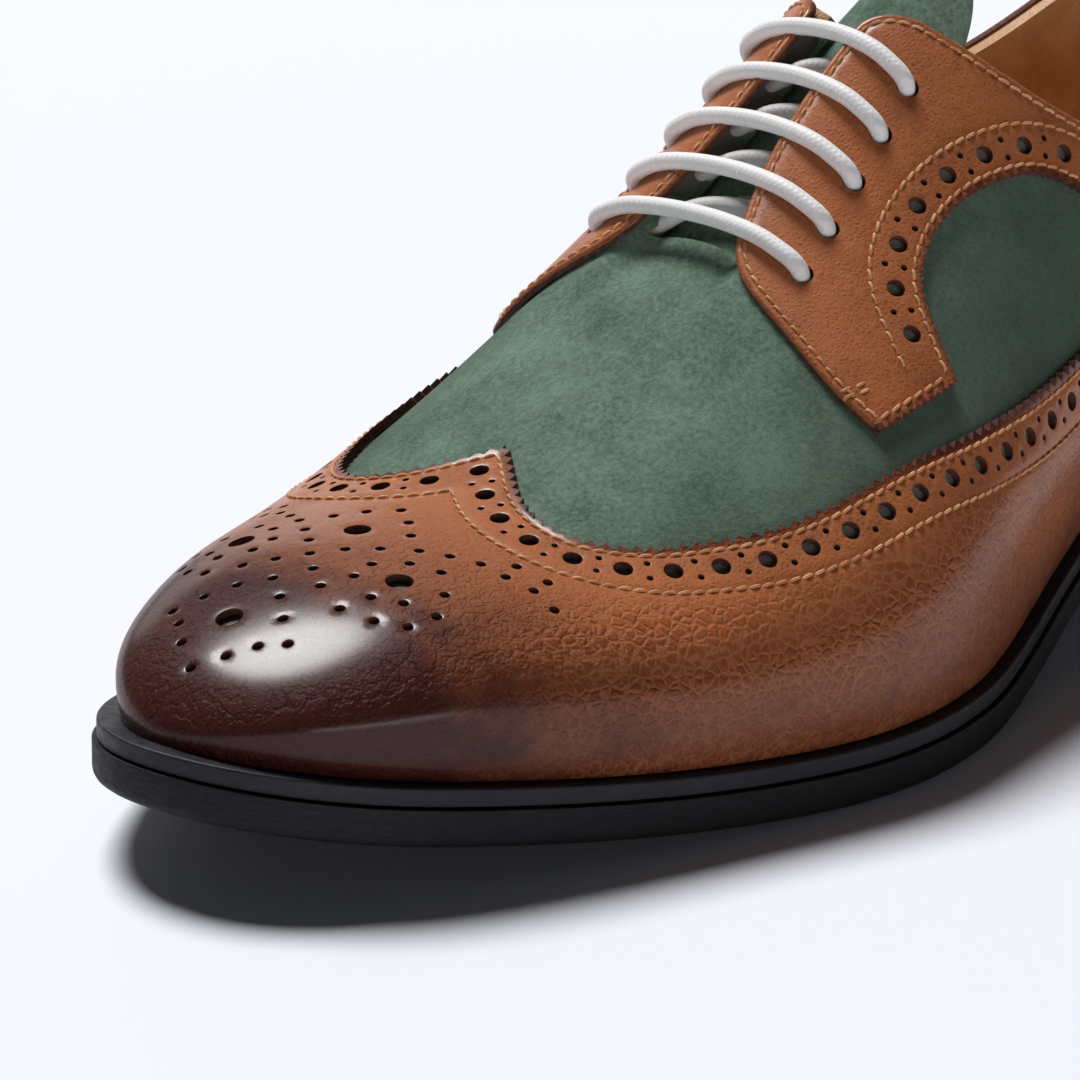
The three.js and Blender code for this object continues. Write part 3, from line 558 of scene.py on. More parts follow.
def beside(line, distance):
    """The line moved to its left on the worn leather by a distance, or by one for each point."""
    step = np.gradient(line, axis=0)
    angle, girth = place(line)
    along, across = tangents(line)
    run = along * step[:, :1] + across * step[:, 1:]
    left = unit(np.cross(last_normal(angle, girth), run))
    return line + unwrap(line, left * np.reshape(distance, (-1, 1)))


def corner_curve(start, corner, end):
    """Points between two others on the parabola that leaves and meets them towards the corner."""
    share = np.linspace(0, 1, 8)[1:-1, None]
    return (1 - share) ** 2 * start + 2 * share * (1 - share) * corner + share**2 * end


def joined(*lines, cuts=()):
    """Closed loop of lines laid end to end. cuts gives, for the corner after each line, how far from
    the corner its rounding starts; 0 keeps the corner sharp."""
    cuts = list(cuts) + [0] * (len(lines) - len(cuts))
    loop = []
    for i, line in enumerate(lines):
        length = arc_length(worn(line))
        start = cuts[i - 1]
        end = cuts[i]
        kept = line[(length >= start) & (length <= length[-1] - end)]
        loop.append(kept)
        if end:
            other = lines[(i + 1) % len(lines)]
            after = other[arc_length(worn(other)) >= end][0]
            loop.append(corner_curve(kept[-1], line[-1], after))
    loop = np.concatenate(loop)
    gap = np.linalg.norm(np.roll(loop, -1, axis=0) - loop, axis=1)
    return loop[gap > 0.05]


def pinked(line, pitch, depth):
    """Line cut with pinking shears: its points lie by turns half the depth to its right and left."""
    teeth = spaced(line, pitch / 2)
    return beside(teeth, np.where(np.arange(len(teeth)) % 2, depth / 2, -depth / 2))


def circle(centre, radius, count=16):
    """Loop of pattern points that is a true circle on the worn leather."""
    centre = np.asarray(centre, float)
    along, _ = tangents(centre)
    first = unit(along)
    second = unit(np.cross(last_normal(*place(centre)), first))
    turn = np.linspace(0, 2 * math.pi, count, endpoint=False)[:, None]
    return centre + unwrap(centre, radius * (np.cos(turn) * first + np.sin(turn) * second))


def inside_loop(points, loop):
    """Whether each point lies inside a closed loop: a level ray from it crosses the loop oddly often."""
    start, end = loop, np.roll(loop, -1, axis=0)
    run = end - start
    slope = run[:, 0] / np.where(run[:, 1] == 0, 1e-9, run[:, 1])
    nearby = np.flatnonzero(((points >= loop.min(0)) & (points <= loop.max(0))).all(1))
    found = np.zeros(len(points), bool)
    for block in np.array_split(nearby, max(1, len(nearby) // 4000)):
        x, y = points[block, 0, None], points[block, 1, None]
        crossed = ((start[:, 1] > y) != (end[:, 1] > y)) & (x < start[:, 0] + (y - start[:, 1]) * slope)
        found[block] = crossed.sum(1) % 2 == 1
    return found


def nearest(points, lines):
    """Distance from each pattern point to the nearest of some lines, 1000 where there is none."""
    if len(lines) == 0:
        return np.full(len(points), 1e3)
    samples = []
    for line in lines:
        length = arc_length(line)
        even = np.linspace(0, length[-1], max(2, int(length[-1] / 0.1)))
        samples.append(np.column_stack([np.interp(even, length, line[:, k]) for k in (0, 1)]))
    samples = np.concatenate(samples)
    tree = KDTree(len(samples))
    for i, (x, y) in enumerate(samples.tolist()):
        tree.insert((x, y, 0), i)
    tree.balance()
    return np.array([tree.find((x, y, 0))[2] for x, y in points.tolist()])


def cut_leather(outline, holes=(), seams=(), spacing=1.1, folds=(), cuts=()):
    """Flat leather between an outline and its holes: an even net of points, the loops, and rows of
    points beside seams and inside folds, joined by a Delaunay triangulation. Gives the pattern
    points, the triangles, and each point's distance from the seams, holes, folds and cut edges."""
    loops = [outline, *holes]
    closed = [np.concatenate([loop, loop[:1]]) for loop in loops]
    rows = [hole.mean(0) + (hole - hole.mean(0)) * 1.3 for hole in holes]
    rows += [beside(seam, shift) for seam in seams for shift in (-0.6, 0, 0.6)]
    rows += [beside(fold, shift) for fold in folds for shift in (-0.9, -0.5, -0.2, 0.2, 0.5, 0.9)]
    low, high = outline.min(0), outline.max(0)
    across = np.arange(low[0], high[0], spacing * 0.866)
    along = np.arange(low[1], high[1], spacing)
    net = np.stack(np.meshgrid(across, along, indexing="ij"), -1)
    net[1::2, :, 1] += spacing / 2
    net = net.reshape(-1, 2)
    net = net[inside_loop(net, outline)]
    if rows:
        extra = np.concatenate(rows)
        extra = extra[inside_loop(extra, outline)]
        extra = extra[nearest(extra, closed) > 0.12]
        net = net[nearest(net, rows) > 0.45 * spacing]
    else:
        extra = np.zeros((0, 2))
    net = net[nearest(net, closed) > 0.4 * spacing]
    points = np.concatenate([*loops, extra, net])
    starts = np.cumsum([0] + [len(loop) for loop in loops])
    faces = [list(range(start, start + len(loop))) for start, loop in zip(starts, loops)]
    found, _, triangles, *_ = delaunay_2d_cdt([Vector(point) for point in points], [], faces, 2, 1e-5)
    pattern = np.array([tuple(point) for point in found])
    triangles = np.array(triangles)
    first, second, third = (pattern[triangles[:, k]] for k in range(3))
    spread = second - first
    other = third - first
    area = spread[:, 0] * other[:, 1] - spread[:, 1] * other[:, 0]
    triangles[area > 0] = triangles[area > 0][:, ::-1]
    triangles = triangles[np.abs(area) > 1e-7]
    used, triangles = np.unique(triangles, return_inverse=True)
    pattern = pattern[used]
    return {
        "pattern": pattern,
        "triangles": triangles.reshape(-1, 3),
        "seam": nearest(pattern, seams),
        "hole": nearest(pattern, closed[1:]),
        "fold": nearest(pattern, folds),
        "cut": nearest(pattern, cuts),
    }


def sew_shell(name, cut, top, bottom):
    """Closed leather of a cut piece: its triangles on the last at the offsets top and bottom, and a
    wall between their open edges. The wall has the second material."""
    pattern, triangles = cut["pattern"], cut["triangles"]
    count = len(pattern)
    sides = np.concatenate([triangles[:, [0, 1]], triangles[:, [1, 2]], triangles[:, [2, 0]]])
    keys = np.sort(sides, axis=1)
    _, first, times = np.unique(keys[:, 0] * count + keys[:, 1], return_index=True, return_counts=True)
    rim = sides[first[times == 1]]
    walls = np.column_stack([rim[:, 0], rim[:, 0] + count, rim[:, 1] + count, rim[:, 1]])
    points = np.concatenate([worn(pattern, top), worn(pattern, bottom)])
    shell = mesh_object(name, points, triangles, triangles[:, ::-1] + count, walls)
    material = np.zeros(2 * len(triangles) + len(walls), np.int32)
    material[2 * len(triangles):] = 1
    shell.data.polygons.foreach_set("material_index", material)
    return shell


# Vamp and quarters: green suede, the hull of the upper under the brown pieces, lasted under the
# insole's edge. Its topline and throat are the shoe's only openings.
SEAT_HEIGHT = HEEL_LIFT + BOTTOM_THICKNESS
SEAM_GAP = 0.006
TOPLINE = np.array([
    (0.0, 0.63),
    (0.08, 0.6),
    (0.17, 0.51),
    (0.27, 0.46),
    (0.35, 0.477),
    (0.405, 0.548),
    (0.44, 0.632),
    (0.466, 0.72),
    (0.5, 0.84),
])
THROAT = [
    (0.602, 0.118),
    (0.588, 0.098),
    (0.56, 0.074),
    (0.53, 0.062),
    (0.49, 0.062),
    (0.44, 0.07),
    (0.38, 0.08),
]
topline_rise = spline(TOPLINE[:, 0], TOPLINE[:, 1])


def topline_height(angle):
    """Height of the upper's edge over the floor, from its rise over the heel seat in the side view."""
    return SEAT_HEIGHT + LAST_HEIGHT * topline_rise((1 + np.cos(angle)) / 2)


def girth_at_height(angle, side, height):
    """Share of the half girth at which one side of the last reaches a height, found by halving."""
    low = np.zeros_like(angle)
    high = np.full_like(angle, SIDE_SHARE)
    for _ in range(30):
        middle = (low + high) / 2
        above = last_point(angle, side * middle)[..., 2] > height
        low = np.where(above, middle, low)
        high = np.where(above, high, middle)
    return low


def level_line(side, from_at, to_at, height):
    """Pattern line along one side at the height given by a function of the angle."""
    angle = np.linspace(angle_at(from_at), min(angle_at(to_at), math.pi - SEAM_GAP), 160)
    return flat_angle(angle, side * girth_at_height(angle, side, height(angle)))


def foot_pattern(side):
    """Pattern line of the feather line on one side, from the toe back to the heel seam."""
    angle = np.linspace(0, math.pi - SEAM_GAP, 300)
    return flat_angle(angle, np.full(300, float(side)))


def seam_pattern(side, low, high):
    """Pattern line up one side of the heel seam between two shares of the half girth."""
    angle = np.full(40, math.pi - SEAM_GAP)
    return flat_angle(angle, side * np.linspace(low, high, 40))


def below_topline(line, drop=0.0):
    """The part of a line that lies under the topline lowered by a drop."""
    angle, _ = place(line)
    return line[worn(line)[:, 2] < topline_height(angle) - drop]


SUEDE_UNDER_TOP = 3
HULL_STEP = 0.9


def hull_outline(drop, throat_back, throat_wide):
    """Closed outline of the upper's hull: foot, heel seams, lowered topline, and the throat, widened
    and closed straight across the comb."""
    halves = []
    for side in (1, -1):
        rows = [(at - throat_back, girth + throat_wide) for at, girth in THROAT]
        throat = below_topline(smooth_line(rows, side), drop)
        top_girth = place(throat[-1])[1]
        edge = level_line(side, 0.5, 0, lambda angle: topline_height(angle) - drop)
        edge = edge[np.abs(place(edge)[1]) > abs(top_girth)]
        edge = edge[edge[:, 0] > throat[-1, 0]]
        rise = abs(place(edge[-1])[1])
        half = [foot_pattern(side), seam_pattern(side, 1, rise), edge[::-1], throat[::-1]]
        halves.append([spaced(line, HULL_STEP) for line in half])
    left, right = halves
    across = spaced(np.array([left[-1][-1], right[-1][-1]]), HULL_STEP)
    return joined(*left, across, *[line[::-1] for line in reversed(right)])


def throat_sink(pattern):
    """How far the vamp dips towards the tongue between the facings' front corners."""
    angle, girth = place(pattern)
    at = (1 + np.cos(angle)) / 2
    back = np.clip((0.652 - at) / 0.055, 0, 1)
    within = np.clip((0.15 - np.abs(girth)) / 0.06, 0, 1)
    return 3.6 * back**2 * (3 - 2 * back) * within**2 * (3 - 2 * within)


# The eyelets are punched through the facings, the suede and the lining
EYELET_ROWS = 5
FIRST_EYELET = (0.593, 0.236)
LAST_EYELET = (0.487, 0.212)


def eyelet(row, side):
    """Pattern point of an eyelet, counted from the vamp upwards."""
    at, girth = np.array(FIRST_EYELET) + (np.array(LAST_EYELET) - FIRST_EYELET) * row / (EYELET_ROWS - 1)
    return flat(at, side * girth)


def eyelet_holes(radius, sides=(1, -1)):
    """Circles of the eyelets' holes on one side or on both."""
    return [circle(eyelet(row, side), radius, 20) for side in sides for row in range(EYELET_ROWS)]


# Suede: a short brushed nap in two tones, lighter where it is stroked, with soft fibres, and painted
# shade darkening its sides away from the comb
SUEDE_DEEP = (0.08, 0.13, 0.092, 1)
SUEDE_LIGHT = (0.285, 0.42, 0.31, 1)
SUEDE_SHADE = (0.06, 0.092, 0.066, 1)
GLUED_GREY = (0.33, 0.31, 0.26, 1)
green_suede, suede_tree, suede_shader = new_material(
    "green_suede", 0.95, Sheen_Weight=0.2, Sheen_Roughness=0.45, Sheen_Tint=(0.5, 0.62, 0.53, 1)
)
suede_shader.inputs["Specular IOR Level"].default_value = 0.15
nap_clouds = object_noise(suede_tree, 70.0, 5.0, 0.65)
nap_fibres = object_noise(suede_tree, 1150.0, 5.0, 0.85)
nap_tone = math_node(suede_tree, "ADD", nap_clouds, math_node(suede_tree, "MULTIPLY", nap_fibres, 1.5))
nap_color = blend_color(suede_tree, ramp(suede_tree, nap_tone, 0.85, 1.65), SUEDE_DEEP, SUEDE_LIGHT)
# The turned attribute is painted shade: it darkens the suede's sides towards SUEDE_SHADE.
side_shade_share = add_node(suede_tree, "ShaderNodeAttribute", attribute_name="turned").outputs["Fac"]
nap_covered = add_node(suede_tree, "ShaderNodeAttribute", attribute_name="covered").outputs["Fac"]
nap_with_painted_shade = blend_color(suede_tree, side_shade_share, nap_color, SUEDE_SHADE)
suede_tree.links.new(
    blend_color(suede_tree, nap_covered, nap_with_painted_shade, GLUED_GREY), suede_shader.inputs["Base Color"]
)
bump(suede_tree, suede_shader, nap_fibres, 0.0006, 1.0)

SUEDE_THICKNESS = 1.0
TOP_TUCK = 0.5
suede_cut = cut_leather(hull_outline(SUEDE_UNDER_TOP, 0.005, 0.01), eyelet_holes(1.95), spacing=1.5)
suede_sink = throat_sink(suede_cut["pattern"])
suede = sew_shell(
    "suede_upper",
    suede_cut,
    UPPER_FACE - suede_sink,
    UPPER_FACE - SUEDE_THICKNESS - suede_sink,
)
# Painted shade: the suede's sides are darkened, more the farther they lie from the comb.
suede_side_shade = 0.75 * np.clip((np.abs(place(suede_cut["pattern"])[1]) - 0.22) / 0.3, 0, 1)
set_attribute(suede, "turned", np.tile(suede_side_shade, 2))
finish_piece(suede, "green_suede", "upper", green_suede, green_suede)

# Lining: a thin tan calf hull inside the suede, glued to it and turned up to the topline, where the
# facings' folded edge is sewn through it. It shows at the collar and under the tongue.
lining_cut = cut_leather(hull_outline(TOP_TUCK, -0.01, 0.035), eyelet_holes(2.05), spacing=2.0)
lining_sink = throat_sink(lining_cut["pattern"])
lining_angle = place(lining_cut["pattern"])[0]
below_top = topline_height(lining_angle) - worn(lining_cut["pattern"])[:, 2]
turned_in = np.clip((SUEDE_UNDER_TOP + 1 - below_top) / 0.8, 0, 1)
turned_in *= np.clip((lining_angle - angle_at(0.6)) / 0.05, 0, 1)
lining_face = UPPER_FACE - (SUEDE_THICKNESS + 0.3) * (1 - turned_in) + 0.25 * turned_in
lining = sew_shell(
    "lining",
    lining_cut,
    lining_face - lining_sink,
    UPPER_FACE - UPPER_WALL - lining_sink,
)
finish_piece(lining, "tan_lining", "upper", lining_leather, lining_leather)

# Tongue: two layers of the green suede, sewn under the vamp's throat edge and free from there up, so
# that it lies under the lace and stands a little over the topline.
TONGUE_THICKNESS = 2
TONGUE = [
    (0.655, 0.14),
    (0.648, 0.2),
    (0.63, 0.25),
    (0.55, 0.285),
    (0.47, 0.27),
    (0.43, 0.25),
    (0.414, 0.215),
    (0.405, 0.15),
    (0.401, 0.1),
    (0.4, 0.0),
]
TONGUE_SHALLOW = -3.1
TONGUE_DEEP = -6.3
tongue_left = smooth_line([(0.657, 0.0)] + TONGUE, 1)
tongue_right = smooth_line([(0.657, 0.0)] + TONGUE, -1)
tongue_outline = joined(tongue_left, tongue_right[::-1])
tongue_cut = cut_leather(tongue_outline, spacing=1.5, cuts=[tongue_outline])
tongue_angle = place(tongue_cut["pattern"])[0]
tongue_at = (1 + np.cos(tongue_angle)) / 2
tongue_share = np.clip((0.65 - tongue_at) / 0.038, 0, 1)
tongue_top = TONGUE_SHALLOW + (TONGUE_DEEP - TONGUE_SHALLOW) * tongue_share
tongue_top -= 0.5 * np.clip(1 - tongue_cut["cut"] / 1.2, 0, 1) ** 2
tongue = sew_shell("suede_tongue", tongue_cut, tongue_top, tongue_top - TONGUE_THICKNESS)
finish_piece(tongue, "green_suede", "tongue", green_suede, green_suede)

# Wing: the winged toe cap in brown leather, burnished by hand: almost black at the toe and along the
# welt, tan on the side, where painted shade darkens the lower part. Its upper edge is pinked, and a strip
# of holes runs between two seams.
OVERLAY_LOW = UPPER_FACE + CLEARANCE
WING_THICKNESS = 1.3
WING_RISE = 32
WING_EDGE = [
    (0.745, 0.0),
    (0.76, 0.055),
    (0.779, 0.137),
    (0.787, 0.22),
    (0.786, 0.28),
    (0.779, 0.331),
    (0.761, 0.394),
    (0.738, 0.437),
    (0.715, 0.473),
    (0.69, 0.5),
    (0.663, 0.52),
    (0.63, 0.543),
    (0.593, 0.58),
    (0.551, 0.627),
    (0.506, 0.678),
    (0.455, 0.722),
]
TAIL_STATIONS = (0.36, 0.27, 0.18, 0.1, 0.045, 0.012, 0.0)
TOOTH_PITCH = 2.25
TOOTH_DEPTH = 1.1
SEAM_IN = 1.4
STRIP_MIDDLE = 4.6
STRIP_END = 9.1
HOLE_PITCH = 7.4
HOLE_RADIUS = 1.5
DOT_RADIUS = 0.55
DOT_APART = 1.5
LEATHER_STEP = 0.8
LEATHER_NET = 1.05


def wing_edge(side):
    """Upper edge of the wing on one side, from the heel seam forward to the peak on the comb."""
    tail_angle = np.minimum(angle_at(TAIL_STATIONS), math.pi - SEAM_GAP)
    height = sole_height(UPPER_LENGTH * np.array(TAIL_STATIONS)) + BOTTOM_THICKNESS + WING_RISE
    tail_girth = girth_at_height(tail_angle, side, height)
    tail = list(zip((1 + np.cos(tail_angle)) / 2, tail_girth))
    return smooth_line(WING_EDGE + tail, side)[::-1]


def strip_line(edge, side, distance):
    """Line beside the wing's edge, ended on the comb."""
    line = beside(edge, side * distance)
    return line[line[:, 1] * side >= 0]


def brogue_strip(line, side, pitch, first=0.0):
    """Circles of a strip of brogue holes along a line, counted from its end: a large hole, then a
    pair of dots, repeated."""
    length = arc_length(worn(line))
    count = int((length[-1] - first - 4) / pitch)
    spots = [length[-1] - first - pitch * k for k in range(count)]
    dots = [spot - pitch / 2 for spot in spots]
    at_spots = [np.array([np.interp(s, length, line[:, k]) for k in (0, 1)]) for s in spots]
    found = [circle(spot, HOLE_RADIUS) for spot in at_spots]
    for shift in (-DOT_APART, DOT_APART):
        shifted = beside(line, side * shift)
        for s in dots:
            spot = np.array([np.interp(s, length, shifted[:, k]) for k in (0, 1)])
            found.append(circle(spot, DOT_RADIUS, 8))
    return found


# Medallion: large holes and dots on the toe, the same on both sides of its axis. Each row gives
# millimetres back from the toe's tip and millimetres from the axis.
MEDALLION_HOLES = ((27.1, 0), (57.4, 0), (47.7, 13.1))
MEDALLION_DOTS = (
    (15.2, 0), (37.9, 0), (46.5, 0), (67.1, 0),
    (19.6, 3.4), (23.6, 6.2), (26.4, 9.3), (30.4, 6.3), (34.4, 3.4), (42.9, 3.0),
    (50.4, 2.9), (53.8, 6.0), (57.2, 9.6), (60.5, 6.1), (64.1, 3.3), (48.9, 8.0),
    (44.5, 8.2), (39.6, 6.3), (36.8, 11.1), (41.7, 12.7), (37.8, 15.9), (52.9, 11.1),
    (43.8, 16.5), (40.3, 19.9), (45.1, 21.2), (49.9, 18.8), (54.3, 15.0),
    (59.2, 12.9), (61.0, 16.4), (61.2, 20.2), (62.1, 24.2), (61.5, 28.6), (64.8, 19.2), (65.5, 23.8),
)
MEDALLION_HOLE_RADIUS = 2.05
MEDALLION_DOT_RADIUS = 0.82


def medallion_axis(back):
    """How far the medallion's axis lies from the comb: a shallow bow towards the right side."""
    return -2.7 + 2.4 * ((back - 50) / 33) ** 2


def medallion(rows, radius, count):
    """Circles of the medallion on both sides of its axis."""
    found = []
    for back, across in rows:
        for side in (1, -1) if across else (1,):
            found.append(circle((back, medallion_axis(back) + side * across), radius, count))
    return found


wing_edges = {side: wing_edge(side) for side in (1, -1)}
wing_rows = [
    strip_line(wing_edges[side], side, distance) for side in (1, -1) for distance in (SEAM_IN, STRIP_END)
]
wing_strips = [strip_line(wing_edges[side], side, STRIP_MIDDLE) for side in (1, -1)]
wing_holes = brogue_strip(wing_strips[0], 1, HOLE_PITCH)
wing_holes += brogue_strip(wing_strips[1], -1, HOLE_PITCH, HOLE_PITCH)
wing_holes += medallion(MEDALLION_HOLES, MEDALLION_HOLE_RADIUS, 18)
wing_holes += medallion(MEDALLION_DOTS, MEDALLION_DOT_RADIUS, 10)


def closed_wing(edge):
    """Outline of the wing with its two upper edges given from the heel seams to the peak."""
    halves = []
    for side in (1, -1):
        rise = abs(place(edge[side][0])[1])
        foot = spaced(foot_pattern(side), LEATHER_STEP)
        seam = spaced(seam_pattern(side, 1, rise), LEATHER_STEP)
        halves.append([foot, seam, edge[side]])
    left, right = halves
    return joined(*left, *[line[::-1] for line in reversed(right)])


wing_pinked = {side: pinked(wing_edges[side], TOOTH_PITCH, TOOTH_DEPTH) for side in (1, -1)}
wing_cut = cut_leather(
    closed_wing(wing_pinked), wing_holes, wing_rows, spacing=LEATHER_NET, cuts=list(wing_edges.values())
)


def step(value, low, high):
    """Smooth step of an array from 0 at low to 1 at high."""
    share = np.clip((value - low) / (high - low), 0, 1)
    return share**2 * (3 - 2 * share)


FOLD_ROUND = 0.8
SEAM_DRAWN = 0.22
RIM_DRAWN = 0.08


def leather_relief(cut):
    """Height of the leather's face: drawn down along its seams and at the rims of its holes, and
    rounded over at its folded edges."""
    seam = SEAM_DRAWN * np.exp(-((cut["seam"] / 0.5) ** 2))
    rim = RIM_DRAWN * (1 - step(cut["hole"], 0, 0.35))
    turned = 1 - np.clip(cut["fold"] / FOLD_ROUND, 0, 1)
    return -seam - rim - FOLD_ROUND * (1 - np.sqrt(1 - turned**2))


def shade_leather(piece, cut):
    """Numbers for the wing's material: how much it is darkened, burnished by the toe, the foot and the
    trimmed edge and with painted shade on the lower side, and how coarse its grain is, fine on the toe
    and on the strip of holes."""
    angle, girth = place(cut["pattern"])
    at = (1 + np.cos(angle)) / 2
    points = last_point(angle, girth)
    height = points[:, 2] - sole_height(points[:, 0]) - BOTTOM_THICKNESS
    low = step(np.abs(girth), 0.4, 0.75)
    toe = 0.65 * step(at, 0.86, 0.99) + 0.5 * step(at, 0.765, 0.88) * (1 - 0.6 * low)
    foot = 1 - step(height, 3, 25 + 3 * np.sin(at * 23))
    # Painted shade: the lower side of the wing is darkened, as it lies in shade.
    side = step(np.abs(girth), 0.52, 0.74) * step(at, 0.5, 0.6) * (1 - foot)
    trimmed = 1 - step(cut["cut"], 0.2, 1.6)
    burnish_and_shade = np.clip(toe + 0.52 * foot + 0.3 * side + 0.9 * trimmed, 0, 1.1)
    coarse = step(np.abs(girth), 0.3, 0.6) * (1 - 0.75 * step(at, 0.82, 0.93))
    coarse *= 0.25 + 0.75 * step(cut["cut"], STRIP_END - 1, STRIP_END + 3)
    set_attribute(piece, "burnish_and_shade", np.tile(burnish_and_shade, 2))
    set_attribute(piece, "coarse", np.tile(coarse, 2))


LEATHER_TAN = (0.53, 0.148, 0.042, 1)
LEATHER_BROWN = (0.27, 0.063, 0.019, 1)
LEATHER_DARK = (0.055, 0.0095, 0.0065, 1)
LEATHER_PALE = (0.5, 0.2, 0.085, 1)


def leather_material(name, tan, brown, cells, crease_light, roughness, coat):
    """Polished pebbled leather: tan and brown clouds, dark where burnished and where shade is painted,
    creases paler or darker.
    """
    material, tree, shader = new_material(name, roughness, Coat_Weight=coat, Coat_Roughness=0.21)
    shader.inputs["Specular IOR Level"].default_value = 0.1
    # This attribute holds the burnish and, on the wing, painted shade on the lower side.
    burnish_and_shade = add_node(tree, "ShaderNodeAttribute", attribute_name="burnish_and_shade").outputs["Fac"]
    coarse = add_node(tree, "ShaderNodeAttribute", attribute_name="coarse").outputs["Fac"]
    wrinkled = ramp(tree, burnish_and_shade, 0.1, 0.6, 0.15, 0.7)
    grain = place_group(tree, hide_grain, Cells=cells, Coarse=coarse, Warp=0.0014, Wrinkled=wrinkled)
    clouds = ramp(tree, grain.outputs["Mottle"], 0.3, 0.72)
    hide = blend_color(tree, clouds, brown, tan)
    darkening = math_node(tree, "ADD", burnish_and_shade, math_node(tree, "MULTIPLY", grain.outputs["Mottle"], 1.1))
    dark_share = ramp(tree, darkening, 0.5, 1.6)
    darkened = blend_color(tree, dark_share, hide, LEATHER_DARK)
    open_share = math_node(tree, "SUBTRACT", 1.0, dark_share)
    open_creases = math_node(tree, "MULTIPLY", grain.outputs["Creases"], open_share)
    crease_share = math_node(tree, "MULTIPLY", open_creases, crease_light)
    tree.links.new(blend_color(tree, crease_share, darkened, LEATHER_PALE), shader.inputs["Base Color"])
    dulled = ramp(tree, grain.outputs["Creases"], 0.0, 1.0, roughness, roughness + 0.15)
    tree.links.new(dulled, shader.inputs["Roughness"])
    bump(tree, shader, grain.outputs["Height"], 0.00023)
    return material


brown_leather = leather_material("brown_leather", LEATHER_TAN, LEATHER_BROWN, 600.0, 0.5, 0.46, 0.48)
CUT_EDGE = (0.075, 0.022, 0.016, 1)
CUT_FIBRE = (0.14, 0.05, 0.035, 1)
cut_edge, cut_tree, cut_shader = new_material("cut_edge", 0.85)
cut_tone = ramp(cut_tree, object_noise(cut_tree, 900.0, 3.0), 0.35, 0.65)
cut_tree.links.new(
    blend_color(cut_tree, cut_tone, CUT_EDGE, CUT_FIBRE), cut_shader.inputs["Base Color"]
)

wing = sew_shell(
    "wing_leather",
    wing_cut,
    OVERLAY_LOW + WING_THICKNESS + leather_relief(wing_cut),
    np.full(len(wing_cut["pattern"]), OVERLAY_LOW),
)
shade_leather(wing, wing_cut)


def mark_covered(outline, edges, inward):
    """Dulls the suede where a brown piece is glued on it, as its holes show it."""
    pattern = suede_cut["pattern"]
    covered = inside_loop(pattern, outline) & (nearest(pattern, edges) > inward)
    layer = suede.data.attributes.get("covered") or suede.data.attributes.new("covered", "FLOAT", "POINT")
    before = np.zeros(2 * len(pattern), np.float32)
    layer.data.foreach_get("value", before)
    layer.data.foreach_set("value", np.maximum(before, np.tile(covered.astype(np.float32), 2)))


mark_covered(closed_wing(wing_edges), list(wing_edges.values()), 1.8)
finish_piece(wing, "brown_leather", "wing", brown_leather, cut_edge)

# Wing's seams: two rows of waxed linen thread, locked on a machine. Each stitch is a short raised
# arch whose ends go down into the leather, and the thread draws the leather down along the row.
STITCH_PITCH = 2.22
STITCH_LENGTH = 1.95
THREAD_RADIUS = 0.25
THREAD_SUNK = 0.12
STITCH_SLANT = 0.14
STITCH_ARCH = 0.16
STITCH_DIVE = 0.6


def thread_mesh(name, paths, ups, radius, sides=6):
    """Round threads along paths, an array of paths of as many points each, with a rough upward
    direction for every point. Both ends of each are closed."""
    count, steps, _ = paths.shape
    run = unit(np.gradient(paths, axis=1))
    wide = unit(np.cross(run, ups))
    high = np.cross(wide, run)
    turn = np.linspace(0, 2 * math.pi, sides, endpoint=False)
    rings = paths[:, :, None] + radius * (
        np.cos(turn)[:, None] * wide[:, :, None] + np.sin(turn)[:, None] * high[:, :, None]
    )
    base = np.arange(count)[:, None, None] * steps * sides
    tube = base + band_faces(steps, sides)[None][:, :, ::-1]
    ends = []
    for offset, back in ((0, False), ((steps - 1) * sides, True)):
        fans = np.array([[0, k, k + 1] for k in range(1, sides - 1)]) + offset
        ends.append(base + (fans[:, ::-1] if back else fans)[None])
    caps = [end.reshape(-1, 3) for end in ends]
    return mesh_object(name, rings.reshape(-1, 3), tube.reshape(-1, 4), *caps, crease=70)


def stitch_paths(line, height):
    """Paths and upward directions of the stitches along a pattern line, at the height of the leather."""
    run = arc_length(worn(line))
    count = max(1, int(run[-1] / STITCH_PITCH))
    middle = (np.arange(count) + 0.5) * run[-1] / count
    share = np.linspace(-1, 1, 7)
    spots = middle[:, None] + share * STITCH_LENGTH / 2
    pattern = np.stack([np.interp(spots, run, line[:, k]) for k in (0, 1)], -1)
    flat_step = np.gradient(pattern, axis=1)
    angle, girth = place(pattern)
    along, across = tangents(pattern)
    forward = unit(along * flat_step[..., :1] + across * flat_step[..., 1:])
    normal = last_normal(angle, girth)
    left = np.cross(normal, forward)
    lift = height + STITCH_ARCH - STITCH_DIVE * np.abs(share) ** 3.5
    slant = STITCH_SLANT * share
    paths = last_point(angle, girth) + normal * lift[:, None] + left * slant[:, None]
    return paths, normal


def sew(name, node, rows, height):
    """One piece of all the stitches along some pattern lines."""
    found = [stitch_paths(row, height) for row in rows]
    paths = np.concatenate([paths for paths, _ in found])
    ups = np.concatenate([ups for _, ups in found])
    threads = thread_mesh(name, paths, ups, THREAD_RADIUS)
    finish_piece(threads, "brown_leather", node, linen_thread)


THREAD_DEEP = (0.55, 0.22, 0.08, 1)
THREAD_LIGHT = (0.8, 0.42, 0.19, 1)
linen_thread, thread_tree, thread_shader = new_material("linen_thread", 0.6)
thread_tone = ramp(thread_tree, object_noise(thread_tree, 260.0, 2.0), 0.35, 0.7)
thread_tree.links.new(
    blend_color(thread_tree, thread_tone, THREAD_DEEP, THREAD_LIGHT), thread_shader.inputs["Base Color"]
)
thread_twist = object_noise(thread_tree, 4200.0, 1.0)
bump(thread_tree, thread_shader, thread_twist, 0.0001)
sew("wing_stitches", "wing", wing_rows, OVERLAY_LOW + WING_THICKNESS - THREAD_SUNK)

